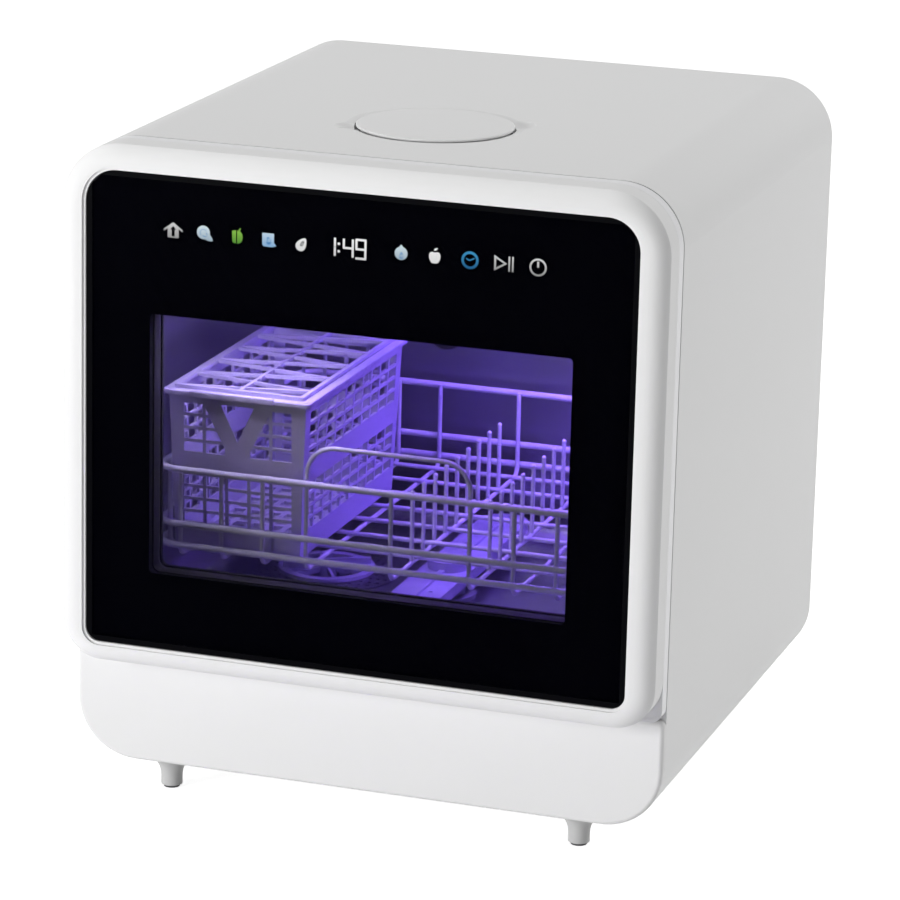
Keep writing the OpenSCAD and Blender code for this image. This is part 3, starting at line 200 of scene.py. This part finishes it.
# Round area lamp that shines against the given direction
def aimLamp(name, place, back, size, power):
    data = bpy.data.lights.new(name, "AREA")
    data.shape, data.size, data.energy = "DISK", size, power
    lamp = bpy.data.objects.new(name, data)
    scene.collection.objects.link(lamp)
    lamp.location = place
    lamp.rotation_mode = "QUATERNION"
    lamp.rotation_quaternion = back.to_track_quat("Z", "Y")
    return data


makeCamera()
makeFloor()
makeLight()
print("camera, floor and light are set")

# How each kind of finish looks close up: cloud and grain are scales of noise, spread is how far they move the
# roughness, depth is the relief's, and dark and pale are the shares of the colour that the clouds run between
surface = {
    "plastic": {"cloud": 9, "spread": 0.10, "depth": 0.06 * mm},
    "metal": {"cloud": 14, "spread": 0.08, "lines": 0.16, "depth": 0.08 * mm, "dark": 0.9, "pale": 1.06},
    "rubber": {"cloud": 60, "grain": 2600, "rough": 0.62, "spread": 0.15, "strength": 0.3, "depth": 0.08 * mm,
               "sheen": 0.3, "dark": 0.85, "pale": 1.15},
    "hose": {"cloud": 30, "rings": 1400, "rough": 0.45, "spread": 0.05, "strength": 0.5, "depth": 0.5 * mm,
             "dark": 0.92, "pale": 1.06},
    "glass": {"cloud": 5, "rough": 0.02, "spread": 0.015, "veil": 0.01, "sheen": 0.03},
    "board": {"cells": 260, "track": 0.06, "rough": 0.32, "spread": 0.15, "strength": 0.2, "depth": 0.1 * mm,
              "green": (0.015, 0.16, 0.07), "copper": (0.10, 0.30, 0.16)},
    "lens": {"cloud": 40, "rough": 0.3, "pale": 1.1},
    "milky": {"cloud": 12, "grain": 300, "rough": 0.22, "spread": 0.1, "cover": 0.55, "strength": 0.15,
              "depth": 0.1 * mm, "sheen": 0.4, "dark": 0.94, "pale": 1.04},
}


def plastic(name, colour, rough, grain, grainSize, mottle, sheen=0.5):
    s = surface["plastic"]
    f = Finish(name, Specular_IOR_Level=sheen)
    cloud = f.noise(s["cloud"], 2)
    f.feed(Base_Color=f.blend(cloud, shade(colour, 1 - mottle), shade(colour, 1 + mottle)),
           Roughness=cloud * s["spread"] + (rough - s["spread"] / 2))
    return f.feed(Normal=f.bump(f.noise(grainSize, 2), grain, s["depth"]))


# Metal with fine lines: the lines run along the axis whose stretch is the lowest
def metal(name, colour, rough, stretch, strength):
    s = surface["metal"]
    f = Finish(name, Metallic=1.0)
    lines = f.noise(1, 4, f.add("Mapping", {"vector_type": "POINT"}, {"Vector": f.place, "Scale": stretch}))
    f.feed(Base_Color=f.blend(lines, shade(colour, s["dark"]), shade(colour, s["pale"])),
           Roughness=lines * s["lines"] + f.noise(s["cloud"], 2) * s["spread"] + rough)
    return f.feed(Normal=f.bump(lines, strength, s["depth"]))


def rubber(name, colour):
    s = surface["rubber"]
    f = Finish(name, Specular_IOR_Level=s["sheen"])
    fine = f.noise(s["grain"], 3)
    f.feed(Base_Color=f.blend(f.noise(s["cloud"], 2), shade(colour, s["dark"]), shade(colour, s["pale"])),
           Roughness=fine * s["spread"] + s["rough"])
    return f.feed(Normal=f.bump(fine, s["strength"], s["depth"]))


# Hose with level rings round it, one above the other
def ringedHose(name, colour):
    s = surface["hose"]
    f = Finish(name)
    rings = maths("SINE", f.along("Z") * s["rings"])
    f.feed(Base_Color=f.blend(f.noise(s["cloud"], 2), shade(colour, s["dark"]), shade(colour, s["pale"])),
           Roughness=rings * s["spread"] + s["rough"])
    return f.feed(Normal=f.bump(rings, s["strength"], s["depth"]))


# Glass that covers what is behind it by the given share, and wholly along its rim, where the frame would show
def clearGlass(name, colour, cover, rim=0, pane=None):
    s = surface["glass"]
    f = Finish(name, Specular_IOR_Level=s["sheen"], Base_Color=shade(colour))
    haze = f.noise(s["cloud"], 2)
    alpha = haze * s["veil"] + cover
    if rim:
        low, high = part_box(pane)
        middle, reach = (low + high) / 2, (high - low) / 2
        for axis, at, half in (("X", middle.x, reach.x), ("Z", middle.z, reach.z)):
            away = maths("ABSOLUTE", f.along(axis) - at)
            alpha = maths("MAXIMUM", alpha, away > half - rim)
    return f.feed(Roughness=haze * s["spread"] + s["rough"], Alpha=alpha)


def circuitBoard(name):
    s = surface["board"]
    f = Finish(name)
    cells = f.add("TexVoronoi", {"feature": "DISTANCE_TO_EDGE"}, {"Vector": f.place, "Scale": s["cells"]})
    tracks = cells < s["track"]
    f.feed(Base_Color=f.blend(tracks, shade(s["green"]), shade(s["copper"])),
           Roughness=tracks * s["spread"] + s["rough"])
    return f.feed(Normal=f.bump(tracks, s["strength"], s["depth"]))


def litLens(name, colour, strength):
    s = surface["lens"]
    f = Finish(name, Emission_Strength=strength, Roughness=s["rough"])
    ink = f.blend(f.noise(s["cloud"], 1), shade(colour), shade(colour, s["pale"]))
    return f.feed(Base_Color=ink, Emission_Color=ink)


def milky(name, colour):
    s = surface["milky"]
    f = Finish(name, Specular_IOR_Level=s["sheen"])
    cloud = f.noise(s["cloud"], 3)
    f.feed(Base_Color=f.blend(cloud, shade(colour, s["dark"]), shade(colour, s["pale"])),
           Roughness=cloud * s["spread"] + s["rough"], Alpha=cloud * s["spread"] + s["cover"])
    return f.feed(Normal=f.bump(f.noise(s["grain"], 2), s["strength"], s["depth"]))


# The function that makes each finish, its colour, and what else that function asks for. A plastic has its
# roughness, the grain's strength and scale, its mottle, and its sheen where that isn't 0.5
recipes = {
    "shellWhite": (plastic, tone(233, 233, 233), 0.48, 0.12, 1800, 0.012, 0.1),
    "panelWhite": (plastic, tone(226, 226, 226), 0.5, 0.5, 900, 0.02),
    "innerWhite": (plastic, tone(228, 228, 230), 0.36, 0.15, 1500, 0.02),
    "footWhite": (plastic, tone(196, 196, 196), 0.4, 0.15, 1500, 0.02, 0.25),
    "greyPlastic": (plastic, tone(150, 152, 162), 0.4, 0.3, 1200, 0.05),
    "darkPlastic": (plastic, tone(34, 34, 38), 0.4, 0.35, 1100, 0.12),
    "lilacPlastic": (plastic, tone(186, 178, 214), 0.34, 0.2, 1300, 0.03),
    "tubSteel": (metal, tone(160, 160, 166), 0.2, (8, 900, 900), 0.2),
    "brightSteel": (metal, tone(205, 206, 208), 0.18, (400, 400, 60), 0.1),
    "sealRubber": (rubber, tone(38, 38, 42)),
    "footRubber": (rubber, tone(70, 70, 72)),
    "hoseGrey": (ringedHose, tone(170, 171, 176)),
    "wireCoat": (plastic, tone(218, 216, 232), 0.3, 0.1, 2200, 0.02),
    "frontGlass": (clearGlass, (0.0, 0.0, 0.001), 0.36, 4 * mm, "front_glass"),
    "innerGlass": (clearGlass, (0.01, 0.01, 0.02), 0.06),
    "blackPrint": (plastic, (0.0003, 0.0003, 0.001), 0.5, 0.05, 900, 0.2, 0.0),
    "tankPlastic": (milky, tone(226, 232, 240)),
    "circuitGreen": (circuitBoard,),
    "violetLens": (litLens, (0.30, 0.13, 1.0), 60.0),
    "spacerBlack": (plastic, (0.004, 0.004, 0.008), 0.7, 0.1, 900, 0.2, 0.15),
}
finishes = {name: make(name, *values) for name, (make, *values) in recipes.items()}

dress = {
    "shellWhite": ["outer_shell", "plinth_panel", "door_frame", "tank_lid"],
    "panelWhite": ["rear_panel"],
    "innerWhite": ["front_collar", "door_liner", "hinge_lugs", "fill_funnel", "inlet_valve", "lamp_bar",
                   "detergent_lid"],
    "footWhite": ["feet"],
    "footRubber": ["foot_pads"],
    "greyPlastic": ["rack_rail_left", "rack_rail_right", "sump", "spray_hub", "riser_pipe", "drain_spigot",
                    "base_tray", "latch_catch", "wheel_clips", "wheel_front_left", "wheel_front_right",
                    "wheel_rear_left", "wheel_rear_right"],
    "darkPlastic": ["wash_pump", "drain_pump", "power_gland", "drying_fan", "display_module"],
    "spacerBlack": ["window_spacer"],
    "lilacPlastic": ["filter_cup", "lower_spray_arm", "upper_spray_arm", "cutlery_basket", "cutlery_grid",
                     "detergent_cup"],
    "tubSteel": ["tub", "filter_plate", "heater"],
    "brightSteel": ["rear_screws", "hinge_brackets", "hinge_pins", "latch_hook", "hose_clamps"],
    "sealRubber": ["tub_gasket", "lid_seal"],
    "hoseGrey": ["pump_hoses", "tank_hose"],
    "wireCoat": ["dish_rack", "plate_tines"],
    "frontGlass": ["front_glass"],
    "innerGlass": ["inner_window"],
    "blackPrint": ["glass_mask"],
    "tankPlastic": ["water_tank"],
    "circuitGreen": ["control_board"],
    "violetLens": ["lamp_lens"],
}
for finish, names in dress.items():
    for name in names:
        nodes[name].data.materials.clear()
        nodes[name].data.materials.append(finishes[finish])
print("finishes are on the frame")


def pick(piece):
    bpy.ops.object.select_all(action="DESELECT")
    piece.select_set(True)
    bpy.context.view_layer.objects.active = piece


def join(parts):
    pick(parts[0])
    for part in parts:
        part.select_set(True)
    bpy.ops.object.join()
    return bpy.context.object


# Last step of a piece: one mesh in place, with its name, its finish and its body
def settle(piece, name, material, body):
    pick(piece)
    bpy.ops.object.transform_apply(location=True, rotation=True, scale=True)
    piece.name = name
    piece.data.materials.clear()
    piece.data.materials.append(material)
    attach(piece, body)
    return piece


glassLow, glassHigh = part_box("front_glass")
# Height of the row of symbols, the face they lie on, their thickness, how far a later layer of a symbol
# stands before the one under it, and the height over which an ink goes from its lower to its upper colour
symbols = {"row": glassHigh.z - 37 * mm, "front": glassLow.y - 0.1 * mm, "thick": 0.12 * mm,
           "layer": 0.05 * mm, "fade": 12 * mm}


# Flat figure in the plane of the glass: outlines in mm about (x, row), the later ones cut holes
def flatFigure(x, outlines, lift):
    curve = bpy.data.curves.new("figure", "CURVE")
    curve.dimensions, curve.fill_mode = "2D", "BOTH"
    curve.extrude = symbols["thick"] / 2
    for points in outlines:
        spline = curve.splines.new("POLY")
        spline.points.add(len(points) - 1)
        for point, (px, pz) in zip(spline.points, points):
            point.co = ((x + px) * mm, pz * mm, 0, 1)
        spline.use_cyclic_u = True
    figure = bpy.data.objects.new("figure", curve)
    scene.collection.objects.link(figure)
    figure.rotation_euler = (math.pi / 2, 0, 0)
    figure.location = (0, symbols["front"] - lift, symbols["row"])
    pick(figure)
    bpy.ops.object.convert(target="MESH")
    bpy.ops.object.transform_apply(location=True, rotation=True, scale=True)
    return bpy.context.object


# Points round a circle; a full turn doesn't repeat its first point
def arc(cx, cz, r, a0=0, a1=360, count=36):
    turns = [math.radians(a0 + (a1 - a0) * i / count) for i in range(count + (a1 - a0 < 360))]
    return [(cx + r * math.cos(a), cz + r * math.sin(a)) for a in turns]


def ringBand(cx, cz, r, w, a0=0, a1=360):
    outer, inner = arc(cx, cz, r + w / 2, a0, a1), arc(cx, cz, r - w / 2, a0, a1)
    return [outer, inner] if a1 - a0 >= 360 else [outer + inner[::-1]]


def stroke(x0, z0, x1, z1, w):
    dx, dz = x1 - x0, z1 - z0
    k = w / 2 / math.hypot(dx, dz)
    nx, nz = -dz * k, dx * k
    return [(x0 + nx, z0 + nz), (x0 - nx, z0 - nz), (x1 - nx, z1 - nz), (x1 + nx, z1 + nz)]


# Oval that is blunt at one end and narrow at the other, turned by lean degrees
def leafShape(cx, cz, length, width, lean, count=24, taper=0.35):
    c, s = math.cos(math.radians(lean)), math.sin(math.radians(lean))
    points = []
    for i in range(count):
        t = i / count * 2 * math.pi
        along, across = math.cos(t) * length / 2, math.sin(t) * width / 2 * (1 - taper * math.cos(t))
        points.append((cx + along * c - across * s, cz + along * s + across * c))
    return points


# Lower and upper colour of each ink, and its strength where it isn't 0.85
inkTones = {
    "greyInk": (tone(150, 150, 150), tone(222, 222, 222)),
    "whiteInk": (tone(225, 225, 225), tone(250, 250, 250)),
    "paleBlueInk": (tone(150, 172, 190), tone(222, 238, 244)),
    "leafInk": (tone(60, 130, 40), tone(150, 205, 80)),
    "squareInk": (tone(120, 170, 215), tone(205, 225, 240)),
    "dropInk": (tone(40, 110, 175), tone(90, 160, 215)),
    "clockInk": (tone(20, 90, 140), tone(60, 150, 200)),
    "darkInk": (tone(50, 55, 60), tone(90, 95, 100), 0.5),
}


def glowInk(name, low, high, strength=0.85):
    f = Finish(name, Emission_Strength=strength, Roughness=0.5, Specular_IOR_Level=0.0,
               Base_Color=(0.01, 0.01, 0.01, 1))
    rise = (f.along("Z") - (symbols["row"] - symbols["fade"] / 2)) / symbols["fade"]
    return f.feed(Emission_Color=f.blend(rise, low, high))


inks = {name: glowInk(name, *values) for name, values in inkTones.items()}

# Figures of the clock in mm: each of a figure's bars runs between two points of its cell
clock = {"wide": 6.2, "half": 6.2, "bar": 1.5, "gap": 0.15}
segments = {"1": "bc", "4": "bcfg", "9": "abcdfg"}


def digit(figure, x):
    wide, half, bar = clock["wide"], clock["half"], clock["bar"]
    bars = {"a": (0, half, wide, half), "g": (0, 0, wide, 0), "d": (0, -half, wide, -half),
            "b": (wide, half, wide, 0), "c": (wide, 0, wide, -half), "f": (0, half, 0, 0)}
    outlines = []
    for key in segments[figure]:
        x0, z0, x1, z1 = bars[key]
        dx, dz = (clock["gap"] - bar / 2, 0) if z0 == z1 else (0, clock["gap"])
        outlines.append([stroke(x + x0 + dx, z0 - dz, x + x1 - dx, z1 + dz, bar)])
    return outlines


# One symbol at x mm from the middle, of layers of outlines
def makeSymbol(name, ink, x, *layers):
    parts = [flatFigure(x, outlines, i * symbols["layer"]) for i, outlines in enumerate(layers)]
    settle(join(parts) if len(parts) > 1 else parts[0], name, inks[ink], "door")


def makeSymbols():
    makeSymbol("home_symbol", "greyInk", -129,
               [[(-6.6, 0.8), (0, 5.6), (6.6, 0.8), (6.6, -0.6), (3.9, 1.4), (3.9, -4.8), (-3.9, -4.8),
                 (-3.9, 1.4), (-6.6, -0.6)],
                [(-1.1, -3.9), (1.1, -3.9), (1.1, 0.6), (2.2, 0.6), (0, 3.2), (-2.2, 0.6), (-1.1, 0.6)]])
    makeSymbol("foam_symbol", "paleBlueInk", -107, [arc(-0.6, 0.8, 4.6)],
               [leafShape(3.2, -2.6, 6.4, 4.2, -32)])
    makeSymbol("foam_swirl", "dropInk", -107, ringBand(-0.6, 0.6, 2.3, 0.5, 30, 250),
               ringBand(0.6, -0.6, 1.4, 0.5, 200, 420))
    makeSymbol("leaf_symbol", "leafInk", -84, [[(-3.4, 4.0), (-0.6, 4.4), (-0.6, -4.6), (-3.2, -3.6)]],
               [[(0.2, 4.4), (2.2, 3.9), (3.7, 2.2), (4.1, 0), (3.7, -2.2), (2.2, -3.9), (0.2, -4.6)]],
               [stroke(1.4, 4.0, 2.6, 6.0, 0.7)])
    makeSymbol("square_symbol", "squareInk", -62,
               [[(-4.2, 4.6), (4.0, 4.6), (4.0, -1.6), (5.8, -3.6), (2.6, -4.6), (-3.2, -4.4), (-4.2, -3.2)]])
    makeSymbol("square_drop", "dropInk", -62, [leafShape(0.2, -0.4, 5.4, 3.6, 100)])
    makeSymbol("plate_symbol", "whiteInk", -39, [leafShape(0.3, -0.6, 9.6, 6.6, 58)])
    makeSymbol("plate_line", "darkInk", -39, [leafShape(0.8, 0.1, 4.6, 2.2, 58)])
    makeSymbol("clock_digits", "whiteInk", -17.6, *digit("1", -4.2), *digit("4", 8.2), *digit("9", 17.0),
               [arc(4.9, 2.4, 0.95)], [arc(4.9, -2.6, 0.95)])
    makeSymbol("globe_symbol", "paleBlueInk", 30, [arc(0, 0, 4.4)], [[(-1.5, 3.9), (0, 6.0), (1.5, 3.9)]])
    makeSymbol("globe_leaf", "dropInk", 30, [leafShape(0.2, -1.4, 4.8, 3.0, 90)])
    makeSymbol("fruit_symbol", "whiteInk", 53,
               [[(-4.0, 0.6), (-3.2, 2.6), (-1.6, 3.2), (0, 2.6), (1.6, 3.2), (3.2, 2.6), (4.0, 0.6),
                 (3.7, -1.6), (2.4, -3.9), (0.9, -4.6), (0, -4.2), (-0.9, -4.6), (-2.4, -3.9), (-3.7, -1.6)]],
               [leafShape(0.8, 5.0, 3.0, 1.3, 35)])
    makeSymbol("timer_symbol", "clockInk", 77, ringBand(0, 0, 5.0, 1.7), [stroke(-0.3, -0.2, 3.0, 1.5, 0.9)],
               [stroke(-2.6, 1.1, -0.3, -0.2, 0.9)])
    makeSymbol("run_symbol", "greyInk", 100,
               [[(-6.6, 5.2), (-6.6, -5.2), (2.2, 0)], [(-5.3, 3.0), (0.0, 0), (-5.3, -3.0)]],
               [stroke(3.6, 5.0, 3.6, -5.0, 1.1)], [stroke(6.0, 5.0, 6.0, -5.0, 1.1)])
    makeSymbol("power_symbol", "greyInk", 123, ringBand(0, -0.3, 5.2, 1.25), [stroke(0, 3.6, 0, -0.4, 1.4)])


makeSymbols()
print("symbols are on the glass")


# Lowest and highest corner of each separate solid of a node
def solids(name):
    mesh = nodes[name].data
    parent = {}

    def root(v):
        while parent[v] != v:
            parent[v] = parent[parent[v]]
            v = parent[v]
        return v

    keys = [tuple(round(c, 6) for c in v.co) for v in mesh.vertices]
    for key in keys:
        parent.setdefault(key, key)
    for edge in mesh.edges:
        one, two = (root(keys[i]) for i in edge.vertices)
        parent[one] = two
    groups = {}
    for key in parent:
        groups.setdefault(root(key), []).append(key)
    return [(Vector(map(min, zip(*g))), Vector(map(max, zip(*g)))) for g in groups.values()]


smoothAngle = math.radians(35)


# Rounds the edges that turn by more than the given angle
def rounded(piece, width, segments, angle=40):
    bevel = piece.modifiers.new("edge", "BEVEL")
    bevel.width, bevel.segments = width, segments
    bevel.limit_method, bevel.angle_limit = "ANGLE", math.radians(angle)
    pick(piece)
    bpy.ops.object.modifier_apply(modifier="edge")
    bpy.ops.object.shade_smooth_by_angle(angle=smoothAngle)
    return piece


# Rod along Y about its middle; rear is its radius at the end towards +Y where that differs
def rod(middle, r, length, count, rear=None):
    bpy.ops.object.select_all(action="DESELECT")
    bpy.ops.mesh.primitive_cone_add(vertices=count, radius1=r if rear is None else rear, radius2=r,
                                    depth=length, location=middle, rotation=(math.pi / 2, 0, 0))
    return bpy.context.object


def box(low, high):
    bpy.ops.object.select_all(action="DESELECT")
    low, high = Vector(low), Vector(high)
    bpy.ops.mesh.primitive_cube_add(size=1, location=(low + high) / 2, scale=high - low)
    return bpy.context.object


def cut(piece, tools):
    for tool in tools:
        part = piece.modifiers.new("cut", "BOOLEAN")
        part.operation, part.object, part.solver = "DIFFERENCE", tool, "EXACT"
        pick(piece)
        bpy.ops.object.modifier_apply(modifier="cut")
        bpy.data.objects.remove(tool)
    return piece


screws = {"head": 2.0 * mm, "dome": 0.5 * mm, "recess": 1.2 * mm, "slot": 0.8 * mm, "reach": 2.1 * mm,
          "shank": 1.5 * mm}


# Rear screws: pan heads with a cross recess, in place of the plain ones
def makeScrews():
    s = screws
    half = s["slot"] / 2
    heads = []
    for low, high in solids("rear_screws"):
        mid, face = (low + high) / 2, high.y
        head = rod((mid.x, face - s["head"] / 2, mid.z), (high.x - low.x) / 2, s["head"], 32)
        arms = [box((mid.x - wide, face - s["recess"], mid.z - tall), (mid.x + wide, face + mm, mid.z + tall))
                for wide, tall in ((s["reach"], half), (half, s["reach"]))]
        shank = rod((mid.x, (low.y + face - s["head"]) / 2, mid.z), s["shank"], face - low.y - s["head"], 20)
        heads += [cut(rounded(head, s["dome"], 3), arms), shank]
    piece = settle(join(heads), "rear_screw_heads", finishes["brightSteel"], "cabinet")
    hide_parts("rear_screws")


tips = {"wire": 1.5 * mm, "grow": 1.18, "round": 20, "rings": 12}


# Plastic beads on the ends of the tines, somewhat thicker than their wire
def makeTips():
    beads = []
    for low, high in solids("plate_tines"):
        bpy.ops.object.select_all(action="DESELECT")
        bpy.ops.mesh.primitive_uv_sphere_add(segments=tips["round"], ring_count=tips["rings"],
                                             radius=tips["wire"] * tips["grow"],
                                             location=((low.x + high.x) / 2, (low.y + high.y) / 2, high.z))
        bpy.ops.object.shade_smooth()
        beads.append(bpy.context.object)
    settle(join(beads), "tine_tips", finishes["wireCoat"], "rack")


thread = {"x": -140 * mm, "z": 153 * mm, "spigot": 13.22 * mm, "sunk": 0.25 * mm, "tall": 0.55 * mm,
          "root": 0.62 * mm, "crest": 0.12 * mm, "pitch": 1.81 * mm, "turns": 5, "steps": 40,
          "start": 1.0 * mm}


# Thread of the water inlet, wound round its plain spigot
def makeThread():
    t = thread
    bpy.ops.object.select_all(action="DESELECT")
    bpy.ops.mesh.primitive_circle_add(vertices=4, radius=1, fill_type="NOTHING")
    turn = bpy.context.object
    foot, top = t["spigot"] - t["sunk"], t["spigot"] + t["tall"]
    outline = ((foot, -t["root"]), (top, -t["crest"]), (top, t["crest"]), (foot, t["root"]))
    for vertex, (out, along) in zip(turn.data.vertices, outline):
        vertex.co = (out, 0, along)
    wind = turn.modifiers.new("wind", "SCREW")
    wind.axis, wind.screw_offset, wind.iterations = "Z", t["pitch"], t["turns"]
    wind.steps = wind.render_steps = t["steps"]
    bpy.ops.object.modifier_apply(modifier="wind")
    bpy.ops.object.mode_set(mode="EDIT")
    bpy.ops.mesh.select_all(action="SELECT")
    bpy.ops.mesh.remove_doubles(threshold=1e-7)
    bpy.ops.mesh.normals_make_consistent(inside=False)
    bpy.ops.object.mode_set(mode="OBJECT")
    turn.rotation_euler = (math.pi / 2, 0, 0)
    turn.location = (t["x"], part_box("inlet_valve")[1].y - t["start"], t["z"])
    bpy.ops.object.shade_smooth_by_angle(angle=smoothAngle)
    settle(turn, "inlet_thread", finishes["innerWhite"], "cabinet")


barbs = {"x": -140 * mm, "z": 85 * mm, "rows": (205.4 * mm, 208.6 * mm, 211.8 * mm), "long": 2.6 * mm,
         "wide": 10.3 * mm, "narrow": 9.45 * mm, "bore": 8.4 * mm, "boreLong": 8 * mm, "soft": 0.15 * mm,
         "round": 48}


# Barbs that hold the drain hose
def makeBarbs():
    b = barbs
    rings = []
    for y in b["rows"]:
        place = (b["x"], y, b["z"])
        ring = rod(place, b["narrow"], b["long"], b["round"], b["wide"])
        rings.append(rounded(cut(ring, [rod(place, b["bore"], b["boreLong"], b["round"])]), b["soft"], 2))
    settle(join(rings), "drain_barbs", finishes["greyPlastic"], "cabinet")


# Rectangular loop with round corners and a wall, in a plane across the given axis; without a wall, a slab
def makeLoop(low, high, corner, wall, axis, steps=8):
    low, high = Vector(low), Vector(high)
    span, start, turned = high - low, (low + high) / 2, (0, 0, 0)
    if axis == "Y":
        start.y, turned = low.y, (math.pi / 2, 0, 0)
        wide, rise = (span.x, span.z, 1), (0, span.y, 0)
    else:
        start.z = low.z
        wide, rise = (span.x, span.y, 1), (0, 0, span.z)
    bpy.ops.object.select_all(action="DESELECT")
    bpy.ops.mesh.primitive_plane_add(size=1, location=start, rotation=turned)
    loop = bpy.context.object
    loop.scale = wide
    bpy.ops.object.transform_apply(location=False, rotation=True, scale=True)
    bpy.ops.object.mode_set(mode="EDIT")
    bpy.ops.mesh.select_all(action="SELECT")
    bpy.ops.mesh.bevel(offset=corner, segments=steps, affect="VERTICES")
    bpy.ops.mesh.select_all(action="SELECT")
    if wall:
        bpy.ops.mesh.inset(thickness=wall)
        bpy.ops.mesh.delete(type="FACE")
        bpy.ops.mesh.select_all(action="SELECT")
    bpy.ops.mesh.extrude_region_move(TRANSFORM_OT_translate={"value": rise})
    bpy.ops.mesh.select_all(action="SELECT")
    bpy.ops.mesh.normals_make_consistent(inside=False)
    bpy.ops.object.mode_set(mode="OBJECT")
    return loop


windowSeals = {"half": 152.5 * mm, "low": 162.5 * mm, "high": 353.5 * mm, "corner": 6 * mm, "wall": 1.3 * mm,
               "soft": 0.3 * mm, "runs": ((-189.4 * mm, -178.75 * mm), (-175.65 * mm, -172.6 * mm))}


# Soft black loops that line the door's window on both sides of its inner pane
def makeWindowSeals():
    w = windowSeals
    loops = [makeLoop((-w["half"], front, w["low"]), (w["half"], back, w["high"]),
                      w["corner"], w["wall"], "Y") for front, back in w["runs"]]
    settle(join([rounded(loop, w["soft"], 2) for loop in loops]), "window_seals", finishes["sealRubber"],
           "door")


linerWebs = {"inner": 180 * mm, "outer": 207.6 * mm, "low": 104.4 * mm, "high": 126 * mm, "corner": 6 * mm,
             "soft": 0.2 * mm, "front": -188.8 * mm, "back": -187.6 * mm}


# Webs that close the front of the door's hollow liner at its two lower corners
def makeLinerWebs():
    w = linerWebs
    webs = [makeLoop((left, w["front"], w["low"]), (right, w["back"], w["high"]), w["corner"], 0, "Y")
            for left, right in ((w["inner"], w["outer"]), (-w["outer"], -w["inner"]))]
    settle(join([rounded(web, w["soft"], 2) for web in webs]), "liner_webs", finishes["innerWhite"],
           "door")


# The tab runs between two shares of the basket's width
basketRim = {"proud": 2.0 * mm, "high": 3.6 * mm, "over": 0.1 * mm, "within": 0.6 * mm, "corner": 4 * mm,
             "soft": 0.95 * mm, "tab": (0.18, 0.77), "tabProud": 1.5 * mm, "tabUp": 1.3 * mm,
             "tabSoft": 1.1 * mm}


# Rounded lip round the top of the cutlery basket, with a raised tab to lift it by
def makeBasketRim():
    r = basketRim
    low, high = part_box("cutlery_basket")
    out, under = r["proud"], high.z - r["high"]
    lip = makeLoop((low.x - out, low.y - out, under), (high.x + out, high.y + out, high.z + r["over"]),
                   r["corner"], out + r["within"], "Z")
    left, right = (low.x + share * (high.x - low.x) for share in r["tab"])
    tab = box((left, low.y - out - r["tabProud"], under), (right, low.y + r["within"], high.z + r["tabUp"]))
    settle(join([rounded(lip, r["soft"], 4, 30), rounded(tab, r["tabSoft"], 4)]), "basket_rim",
           finishes["lilacPlastic"], "cutlery")


makeScrews()
makeTips()
makeThread()
makeBarbs()
makeWindowSeals()
makeLinerWebs()
makeBasketRim()
print("screws, thread, barbs, tine tips, window seals, liner webs and basket rim are made")
